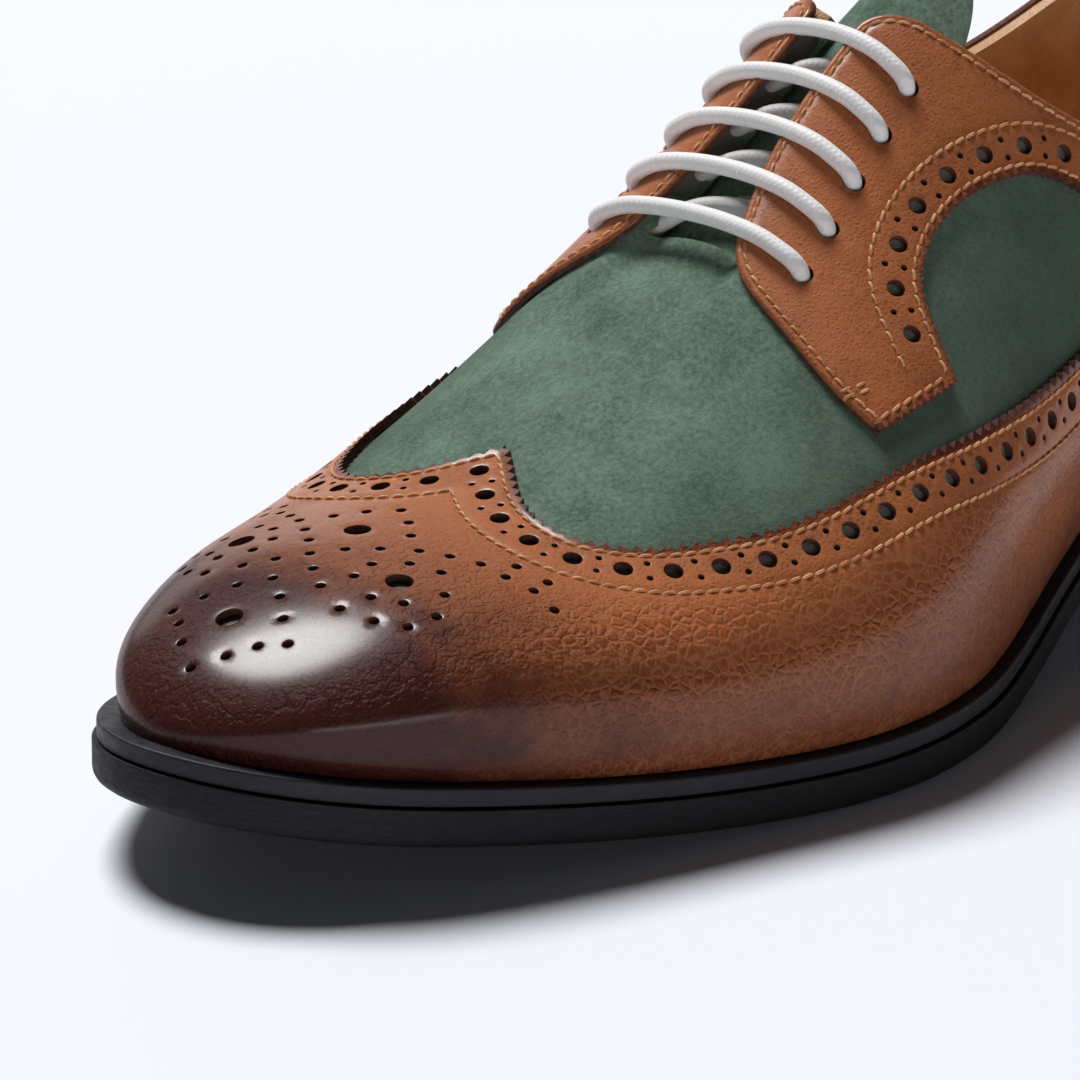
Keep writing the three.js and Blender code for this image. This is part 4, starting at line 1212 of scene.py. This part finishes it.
# Facings: brown leather quarters' fronts. Their front and upper edges are folded and sewn, the tab
# and the sweep behind it are pinked, and a band of the same piece runs under the topline to the heel.
FACING_THICKNESS = 1.4
FACING_SEAM_LEVEL = OVERLAY_LOW + FACING_THICKNESS - THREAD_SUNK
COLLAR_BAND = 13
FACING_FRONT = [
    (0.622, 0.477),
    (0.626, 0.38),
    (0.623, 0.295),
    (0.617, 0.2),
    (0.611, 0.15),
]
TAB_END = [(0.622, 0.477), (0.592, 0.502), (0.561, 0.528)]
SWEEP = [
    (0.561, 0.528),
    (0.554, 0.445),
    (0.547, 0.4),
    (0.535, 0.378),
    (0.514, 0.372),
    (0.49, 0.388),
    (0.469, 0.414),
    (0.442, 0.461),
    (0.418, 0.528),
]
BAND_STATIONS = (0.34, 0.27, 0.18, 0.1, 0.045, 0.012, 0.0)
FOLD_SEAM = 1.5
SWEEP_SEAM = 1.3
SWEEP_STRIP = 4.3
SWEEP_OUTER = 8.0
SWEEP_PITCH = 8.0
SMALL_PITCH = 1.6
SMALL_DEPTH = 0.65
EYELET_RADIUS = 1.75
DIMPLE_OUT = 3.1


def facing_edges(side):
    """Front and topline together, sweep and tab end of one facing, as pattern lines."""
    front = smooth_line(FACING_FRONT + THROAT, side)
    front = below_topline(front)
    top_girth = abs(place(front[-1])[1])
    topline = level_line(side, 0.5, 0, topline_height)
    topline = topline[(np.abs(place(topline)[1]) > top_girth) & (topline[:, 0] > front[-1, 0])]
    band_angle = np.minimum(angle_at(BAND_STATIONS), math.pi - SEAM_GAP)
    band_girth = girth_at_height(band_angle, side, topline_height(band_angle) - COLLAR_BAND)
    sweep = smooth_line(SWEEP + list(zip((1 + np.cos(band_angle)) / 2, band_girth)), side)
    return front, spaced(topline, LEATHER_STEP), sweep, smooth_line(TAB_END, side)


def rounded(first, second, cut):
    """Two lines joined into one with their corner rounded from a distance before and after it."""
    length = arc_length(worn(first))
    kept = first[length <= length[-1] - cut]
    after = second[arc_length(worn(second)) >= cut]
    corner = corner_curve(kept[-1], first[-1], after[0])
    return spaced(np.concatenate([kept, corner, after]), LEATHER_STEP)


for side, facing_node in ((1, "facing_left"), (-1, "facing_right")):
    front, topline, sweep, tab_end = facing_edges(side)
    folded = rounded(front, topline, 5)
    seam_low = abs(place(sweep[-1])[1])
    seam_high = abs(place(folded[-1])[1])
    facing_outline = joined(
        folded,
        spaced(seam_pattern(side, seam_high, seam_low), LEATHER_STEP),
        pinked(sweep, SMALL_PITCH, SMALL_DEPTH)[::-1],
        pinked(tab_end, SMALL_PITCH, SMALL_DEPTH)[::-1],
    )
    inner = beside(sweep, side * SWEEP_SEAM)
    outer = beside(sweep, side * SWEEP_OUTER)
    tab_row = beside(tab_end, side * FOLD_SEAM)[2:-2]
    tack = flat(np.array([0.6262, 0.6096]), side * np.array([0.4, 0.427]))
    tack_rows = [spaced(beside(tack, shift), LEATHER_STEP) for shift in (0, 1.2)]
    facing_rows = [beside(folded, -side * FOLD_SEAM)[2:], inner[2:], outer[4:], tab_row]
    facing_holes = brogue_strip(beside(sweep, side * SWEEP_STRIP)[::-1], side, SWEEP_PITCH, 8.5)
    facing_cut = cut_leather(
        facing_outline,
        facing_holes + eyelet_holes(EYELET_RADIUS, (side,)),
        facing_rows,
        spacing=LEATHER_NET,
        folds=[folded],
        cuts=[sweep, tab_end],
    )
    dimples = [eyelet(row, side) + (0, side * DIMPLE_OUT) for row in range(EYELET_ROWS)]
    dents = sum(np.exp(-(((facing_cut["pattern"] - spot) ** 2).sum(1)) / 0.4) for spot in dimples)
    facing = sew_shell(
        facing_node + "_leather",
        facing_cut,
        OVERLAY_LOW + FACING_THICKNESS + leather_relief(facing_cut) - 0.3 * dents,
        np.full(len(facing_cut["pattern"]), OVERLAY_LOW),
    )
    cut_dark = 0.5 * (1 - step(facing_cut["cut"], 0.2, 1.6))
    fold_dark = 0.25 * (1 - step(facing_cut["fold"], 0.0, 1.2))
    set_attribute(facing, "burnish_and_shade", np.tile(0.12 + cut_dark + fold_dark, 2))
    set_attribute(facing, "coarse", np.full(2 * len(cut_dark), 0.25))
    finish_piece(facing, "brown_leather", facing_node, brown_leather, cut_edge)
    mark_covered(facing_outline, [facing_outline], 2.6)
    sew(facing_node + "_stitches", facing_node, facing_rows + tack_rows, FACING_SEAM_LEVEL)

# Back strip: a strip of the brown leather, folded along its long edges, that covers the seam where
# both sides of the upper meet at the heel. It runs from the topline down into the welt.
STRIP_LOW = 1.2
STRIP_THICKNESS = 1
STRIP_TURN = 0.157
STRIP_HALF = 8
STRIP_ROUND = 0.7
STRIP_GRID = (70, 33)
strip_turn = np.linspace(-STRIP_TURN, STRIP_TURN, STRIP_GRID[1])
strip_rise = np.linspace(0, 1, STRIP_GRID[0])[:, None]
strip_angle = np.broadcast_to(math.pi - np.abs(strip_turn), STRIP_GRID)
strip_side = np.sign(strip_turn + 1e-9)
strip_top = topline_height(strip_angle) - 0.3
strip_foot = last_point(strip_angle, strip_side)[..., 2]
strip_height = strip_foot + (strip_top - strip_foot) * strip_rise
strip_girth = strip_side * girth_at_height(strip_angle, strip_side, strip_height)
strip_edge = (1 - np.abs(strip_turn) / STRIP_TURN) * STRIP_HALF
strip_fold = 1 - np.clip(strip_edge / STRIP_ROUND, 0, 1)
strip_face = STRIP_LOW + STRIP_THICKNESS - STRIP_ROUND * (1 - np.sqrt(1 - strip_fold**2))
strip_sides = [
    on_last(strip_angle, strip_girth, np.broadcast_to(offset, STRIP_GRID))
    for offset in (strip_face, STRIP_LOW)
]


def grid_shell(name, outside, inside):
    """Closed sheet between two grids of points with as many rows and columns each."""
    rows, columns, _ = outside.shape
    number = np.arange(rows * columns).reshape(rows, columns)
    corners = [number[:-1, :-1], number[:-1, 1:], number[1:, 1:], number[1:, :-1]]
    sheet = np.stack(corners, -1).reshape(-1, 4)
    loop = np.concatenate([number[0, :-1], number[:-1, -1], number[-1, :0:-1], number[:0:-1, 0]])
    onward = np.roll(loop, -1)
    walls = np.column_stack([loop, loop + number.size, onward + number.size, onward])
    points = np.concatenate([outside.reshape(-1, 3), inside.reshape(-1, 3)])
    return mesh_object(name, points, sheet, sheet[:, ::-1] + number.size, walls)


back_strip = grid_shell("back_strip_leather", *[grid[:, ::-1] for grid in strip_sides])
set_attribute(back_strip, "burnish_and_shade", np.full(len(back_strip.data.vertices), 0.3))
set_attribute(back_strip, "coarse", np.full(len(back_strip.data.vertices), 0.3))
finish_piece(back_strip, "brown_leather", "back_strip", brown_leather)

# Welt: a black strip sewn to the upper and the insole, and glued on the outsole all round the shoe.
# Its ledge is widest at the toe, and its top edge is slightly rounded.
LEDGE_SIDE = 3
LEDGE_TOE = 4.6
LEDGE_HEEL = 2.2
LEDGE_TOE_FROM = 0.8
LEDGE_HEEL_FROM = 0.4
foot_at = foot_line[:, 0] / UPPER_LENGTH
towards_toe = np.clip((foot_at - LEDGE_TOE_FROM) / (1 - LEDGE_TOE_FROM), 0, 1)
towards_heel = np.clip((LEDGE_HEEL_FROM - foot_at) / LEDGE_HEEL_FROM, 0, 1)
ledge = LEDGE_SIDE + (LEDGE_TOE - LEDGE_SIDE) * towards_toe**2
ledge = ledge + (LEDGE_HEEL - LEDGE_SIDE) * towards_heel
welt_top = weltline + WELT_THICKNESS
welt_profile = rounded_profile([
    (-WELT_INWARD, weltline, 0),
    (0, weltline, 0.12),
    (0, welt_top, 0.5),
    (-WELT_INWARD, welt_top, 0),
])
welt = bottom_piece(
    "welt_strip",
    [(distance + ledge * (distance > -WELT_INWARD), height) for distance, height in welt_profile],
    closed=True,
)


def black_material(name, colour, roughness, scratch, marks):
    """Black finish with fine lengthwise scratches and a little dust."""
    material, tree, shader = new_material(name, roughness)
    shader.inputs["Specular IOR Level"].default_value = 0.27
    place_node = add_node(tree, "ShaderNodeTexCoord").outputs["Object"]
    stretched = add_node(
        tree, "ShaderNodeVectorMath", {0: place_node, 1: (0.16, 0.16, 1.0)}, operation="MULTIPLY"
    ).outputs[0]
    lines = object_noise(tree, 2600.0, 3.0, 0.6, vector=stretched)
    dust = object_noise(tree, 150.0, 5.0, 0.7)
    worn_share = math_node(tree, "MULTIPLY", ramp(tree, lines, 0.52, 0.75), marks)
    dusty = math_node(tree, "MULTIPLY", ramp(tree, dust, 0.45, 0.8), marks)
    pale = tuple(min(1.0, channel * 2.6) for channel in colour)
    share = math_node(tree, "MAXIMUM", worn_share, dusty)
    tree.links.new(blend_color(tree, share, (*colour, 1), (*pale, 1)), shader.inputs["Base Color"])
    dulled = ramp(tree, lines, 0.3, 0.7, roughness - 0.08, roughness + 0.1)
    tree.links.new(dulled, shader.inputs["Roughness"])
    bump(tree, shader, lines, scratch)
    return material


black_welt = black_material("black_welt", (0.016, 0.0148, 0.019), 0.5, 0.00005, 0.35)
finish_piece(welt, "black_welt", "welt", black_welt)

# Outsole: a moulded sheet of black rubber glued under the welt and a little wider than it, trimmed
# round with it, and rounded along its lower edge. It rises at the waist and at the toe.
SOLE_BEYOND = 0.7
SOLE_ROUND = 1.6
outsole_edge = ledge + SOLE_BEYOND
outsole_profile = rounded_profile([
    (-12, 0, 0),
    (0, 0, SOLE_ROUND),
    (0, OUTSOLE_THICKNESS, 0.2),
    (-12, OUTSOLE_THICKNESS, 0),
])
outsole = bottom_piece(
    "outsole_rubber",
    [(distance + outsole_edge * (distance > -12), height) for distance, height in outsole_profile],
)
black_rubber = black_material("black_rubber", (0.007, 0.0068, 0.0088), 0.62, 0.00009, 0.25)
finish_piece(outsole, "black_rubber", "outsole", black_rubber)

# Heel: a block stacked of black lifts and a rubber top piece, nailed and glued under the seat. Its
# sides follow the sole and draw in a little downwards, and its front, the breast, is hollow.
HEEL_BREAST = 0.262 * UPPER_LENGTH
BREAST_HOLLOW = 4
TOP_PIECE = 6
HEEL_FLARE = 1.4


def breast_line(across, inset):
    """How far forward the heel's breast lies at a distance across: a parabola, hollow in the middle."""
    return HEEL_BREAST - inset - BREAST_HOLLOW * (1 - (across / (BALL_WIDTH / 2)) ** 2)


def heel_ring(height, inset=0.0):
    """Closed line round the heel at a height over the floor: the sole's edge, drawn in a little
    towards the floor, and the hollow breast across the front."""
    edge = outsole_edge - CLEARANCE - HEEL_FLARE * (1 - height / HEEL_LIFT) - inset
    spots = foot_line + foot_out * edge[:, None]
    start = FOOT_STEPS // 2
    back = spots[start:len(spots) - start]
    breast = breast_line(back[:, 1], inset)
    past = back[:, 0] - breast
    kept = np.flatnonzero(past <= 0)
    first, last = kept[0], kept[-1]
    ends = []
    for outer_spot, inner_spot in ((first - 1, first), (last + 1, last)):
        share = past[inner_spot] / (past[inner_spot] - past[outer_spot])
        ends.append(back[inner_spot] + (back[outer_spot] - back[inner_spot]) * share)
    side_line = np.concatenate([ends[:1], back[kept], ends[1:]])
    length = arc_length(side_line)
    even = np.linspace(0, length[-1], 150)
    side_line = np.column_stack([np.interp(even, length, side_line[:, k]) for k in (0, 1)])
    across = np.linspace(side_line[-1, 1], side_line[0, 1], 40)[1:-1]
    front_line = np.column_stack([breast_line(across, inset), across])
    ring = np.concatenate([side_line, front_line])
    return np.column_stack([ring, np.full(len(ring), height)])


def heel_piece(name, slot, node, profile):
    """Solid of heel rings, from pairs of inset and height."""
    rings = [heel_ring(height, inset) for inset, height in profile]
    count = len(rings[0])
    points = np.concatenate([*rings, [rings[0].mean(0), rings[-1].mean(0)]])
    total = len(rings) * count
    piece = mesh_object(
        name,
        points,
        band_faces(len(rings), count),
        cap_faces(np.arange(count), total, False),
        cap_faces(np.arange(count) + total - count, total + 1, True),
    )
    finish_piece(piece, slot, node, black_rubber)


EDGE_BREAK = 0.2
top_piece_profile = [
    (0.6, 0),
    (0.15, 0.15),
    (0, 0.6),
    (0, TOP_PIECE - EDGE_BREAK),
    (EDGE_BREAK, TOP_PIECE),
]
heel_piece("heel_top_piece_rubber", "black_rubber", "heel_top_piece", top_piece_profile)
block_low = TOP_PIECE + CLEARANCE
block_high = HEEL_LIFT - CLEARANCE
block_profile = [
    (EDGE_BREAK, block_low),
    (0, block_low + EDGE_BREAK),
    (0, block_high - EDGE_BREAK),
    (EDGE_BREAK, block_high),
]
heel_piece("heel_block_stack", "black_rubber", "heel_block", block_profile)

# Lace: one round braided cord of white cotton, laced in straight bars outside and slanting runs
# under the facings. Its ends are tucked under the facings beside the top eyelets.
LACE_DIAMETER = 2.8
LACE_CLEARANCE = 0.5
LACE_BEND = 2.4
LACE_SIDE_RUN = 4.6
LACE_END = 6
BAR_TAUT = 1.8
RUN_LIFT = 1.7
lace_over = OVERLAY_LOW + FACING_THICKNESS + 0.05 + LACE_DIAMETER / 2
lace_under = UPPER_FACE - UPPER_WALL - LACE_CLEARANCE - LACE_DIAMETER / 2


def eyelet_turn(spot, above, below):
    """Path through an eyelet: from the bar above, down through the leather, to the run below."""
    angle, girth = place(spot)
    base = last_point(angle, girth)
    normal = last_normal(angle, girth)
    quarter = np.linspace(math.pi / 2, 0, 7)[:, None]
    turn = []
    for target, height, sign in ((above, lace_over, 1), (below, lace_under, -1)):
        level = target - base
        level = unit(level - normal * (level @ normal))
        bend = height - sign * LACE_BEND * (1 - np.sin(quarter))
        turn.append(base + normal * bend + level * LACE_BEND * (1 - np.cos(quarter)))
    return turn[0], turn[1][::-1]


def lace_span(start, end, height, taut=0.0):
    """Path between two eyelets at one offset from the last, its ends left out. It is pulled taut
    over the gap between the facings, below the offset by the last number."""
    share = np.linspace(0.15, 0.85, 30)
    gap = np.clip(1 - ((share - 0.5) / 0.34) ** 2, 0, 1)
    return worn(start + (end - start) * share[:, None], height - taut * gap**1.5)


left_eyelets = [eyelet(row, 1) for row in range(EYELET_ROWS)]
right_eyelets = [eyelet(row, -1) for row in range(EYELET_ROWS)]
hidden_run = np.array([spot + (0, LACE_SIDE_RUN) for spot in reversed(left_eyelets)])
hidden_run[-1] = (hidden_run[-1] + hidden_run[-2]) / 2
route = [worn(spaced(hidden_run, 1.5), lace_under)]
for row in range(EYELET_ROWS):
    bar = lace_span(left_eyelets[row], right_eyelets[row], lace_over, BAR_TAUT)
    down, up = eyelet_turn(left_eyelets[row], bar[0], route[-1][-1])
    route.append(np.concatenate([down, up])[::-1])
    route.append(bar)
    if row < EYELET_ROWS - 1:
        onward = lace_span(right_eyelets[row], left_eyelets[row + 1], lace_under, -RUN_LIFT)
    else:
        onward = worn(right_eyelets[row] + np.array([(0, -LACE_BEND - LACE_END)]), lace_under)
    route.append(np.concatenate(eyelet_turn(right_eyelets[row], bar[-1], onward[0])))
    route.append(onward)
lace_path = np.concatenate(route)
for _ in range(2):
    lace_length = arc_length(lace_path)
    lace_even = np.linspace(0, lace_length[-1], int(lace_length[-1] / 0.55))
    lace_path = np.column_stack([np.interp(lace_even, lace_length, lace_path[:, k]) for k in range(3)])
    for _ in range(4):
        lace_path[1:-1] = (lace_path[:-2] + 2 * lace_path[1:-1] + lace_path[2:]) / 4
lace_run = unit(np.gradient(lace_path, axis=0))
lace_up = [np.array([0.0, 0.0, 1.0])]
for run in lace_run[1:]:
    carried = lace_up[-1] - run * (lace_up[-1] @ run)
    lace_up.append(carried / np.linalg.norm(carried))
LACE_SIDES = 20
lace = thread_mesh("lace_cord", lace_path[None], np.array(lace_up)[None], LACE_DIAMETER / 2, LACE_SIDES)
lace_along = np.repeat(arc_length(lace_path), LACE_SIDES)
lace_round = np.tile(np.arange(LACE_SIDES) / LACE_SIDES, len(lace_path))
set_attribute(lace, "along", lace_along)
set_attribute(lace, "round_cos", np.cos(2 * math.pi * lace_round))
set_attribute(lace, "round_sin", np.sin(2 * math.pi * lace_round))
white_cord, cord_tree, cord_shader = new_material("white_cord", 0.55, Sheen_Weight=0.15)
cord_shader.inputs["Base Color"].default_value = (0.92, 0.9, 0.89, 1)
cord_along = add_node(cord_tree, "ShaderNodeAttribute", attribute_name="along").outputs["Fac"]
cord_cos = add_node(cord_tree, "ShaderNodeAttribute", attribute_name="round_cos").outputs["Fac"]
cord_sin = add_node(cord_tree, "ShaderNodeAttribute", attribute_name="round_sin").outputs["Fac"]
cord_turn = math_node(cord_tree, "MULTIPLY", math_node(cord_tree, "ARCTAN2", cord_sin, cord_cos), 5.0)
cord_twine = []
for direction in (1.0, -1.0):
    turned = math_node(cord_tree, "MULTIPLY", cord_turn, direction)
    phase = math_node(cord_tree, "MULTIPLY_ADD", cord_along, 6.5, turned)
    cord_twine.append(math_node(cord_tree, "SINE", phase))
cord_braid = math_node(cord_tree, "MAXIMUM", *cord_twine)
bump(cord_tree, cord_shader, cord_braid, 0.00006, 0.4)
finish_piece(lace, "white_cord", "lace", white_cord)

# Floor, light and camera: a pale paper floor under a wide sun-like lamp from behind the toe, with a
# low fill in front and a bright wall at the back.
CAMERA_TURN = math.radians(40.19)
CAMERA_DOWN = math.radians(18.68)
CAMERA_ROLL = math.radians(0.946)
CAMERA_AWAY = 647.7
CAMERA_AIM = np.array([261.58, 42.405, 52.817])
CAMERA_LENS = 159.58
SENSOR = 36

look = -np.array([
    math.cos(CAMERA_DOWN) * math.cos(CAMERA_TURN),
    math.cos(CAMERA_DOWN) * math.sin(CAMERA_TURN),
    math.sin(CAMERA_DOWN),
])
right = unit(np.cross(look, (0, 0, 1)))
upward = np.cross(right, look)
rolled_right = math.cos(CAMERA_ROLL) * right + math.sin(CAMERA_ROLL) * upward
rolled_up = math.cos(CAMERA_ROLL) * upward - math.sin(CAMERA_ROLL) * right
camera_data = bpy.data.cameras.new("camera")
camera_data.lens = CAMERA_LENS
camera_data.sensor_width = SENSOR
camera_data.sensor_height = SENSOR
camera_data.clip_start = 0.01
camera = bpy.data.objects.new("camera", camera_data)
bpy.context.scene.collection.objects.link(camera)
spot = (CAMERA_AIM - look * CAMERA_AWAY + SHIFT) * MM
camera.matrix_world = Matrix([
    (*[rolled_right[0], rolled_up[0], -look[0]], spot[0]),
    (*[rolled_right[1], rolled_up[1], -look[1]], spot[1]),
    (*[rolled_right[2], rolled_up[2], -look[2]], spot[2]),
    (0, 0, 0, 1),
])
bpy.context.scene.camera = camera

floor_material, _, floor_shader = new_material("pale_floor", 0.6)
floor_shader.inputs["Base Color"].default_value = (0.86, 0.885, 0.95, 1)
floor_shader.inputs["Specular IOR Level"].default_value = 0.2
floor_mesh = bpy.data.meshes.new("floor")
FLOOR_REACH = 8
floor_corners = [(x * FLOOR_REACH, y * FLOOR_REACH, 0) for x, y in ((-1, -1), (1, -1), (1, 1), (-1, 1))]
floor_mesh.from_pydata(floor_corners, [], [(0, 1, 2, 3)])
floor = bpy.data.objects.new("floor", floor_mesh)
floor_mesh.materials.append(floor_material)
bpy.context.scene.collection.objects.link(floor)

WORLD_STRENGTH = 0.022
world = bpy.data.worlds.new("studio")
world.use_nodes = True
world.node_tree.nodes["Background"].inputs["Color"].default_value = (0.86, 0.9, 1.0, 1)
world.node_tree.nodes["Background"].inputs["Strength"].default_value = WORLD_STRENGTH
bpy.context.scene.world = world


def soft_light(name, place_mm, aim_mm, width, height, power):
    """Rectangular studio light at one point of the shoe's frame, turned to another."""
    data = bpy.data.lights.new(name, "AREA")
    data.shape = "RECTANGLE"
    data.size = width
    data.size_y = height
    data.energy = power
    lamp = bpy.data.objects.new(name, data)
    bpy.context.scene.collection.objects.link(lamp)
    start = Vector((np.array(place_mm) + SHIFT) * MM)
    aim = Vector((np.array(aim_mm) + SHIFT) * MM)
    turn = (aim - start).to_track_quat("-Z", "Y")
    lamp.matrix_world = Matrix.Translation(start) @ turn.to_matrix().to_4x4()


def sun_light(name, turn, rise, spread, strength):
    """Even light from a far lamp, its place in the sky and its width given in degrees."""
    data = bpy.data.lights.new(name, "SUN")
    data.angle = math.radians(spread)
    data.energy = strength
    lamp = bpy.data.objects.new(name, data)
    bpy.context.scene.collection.objects.link(lamp)
    turn, rise = math.radians(turn), math.radians(rise)
    level = math.cos(rise)
    source = Vector((level * math.cos(turn), level * math.sin(turn), math.sin(rise)))
    lamp.rotation_euler = source.to_track_quat("Z", "Y").to_euler()


sun_light("key_light", -108, 62, 23, 3.6)
soft_light("front_fill", (800, 1100, 110), (200, 20, 50), 1.0, 0.2, 2.4)
soft_light("far_wall", (-900, -1150, 420), (200, 0, 40), 1.7, 0.5, 3)
bpy.context.scene.view_settings.view_transform = "Standard"
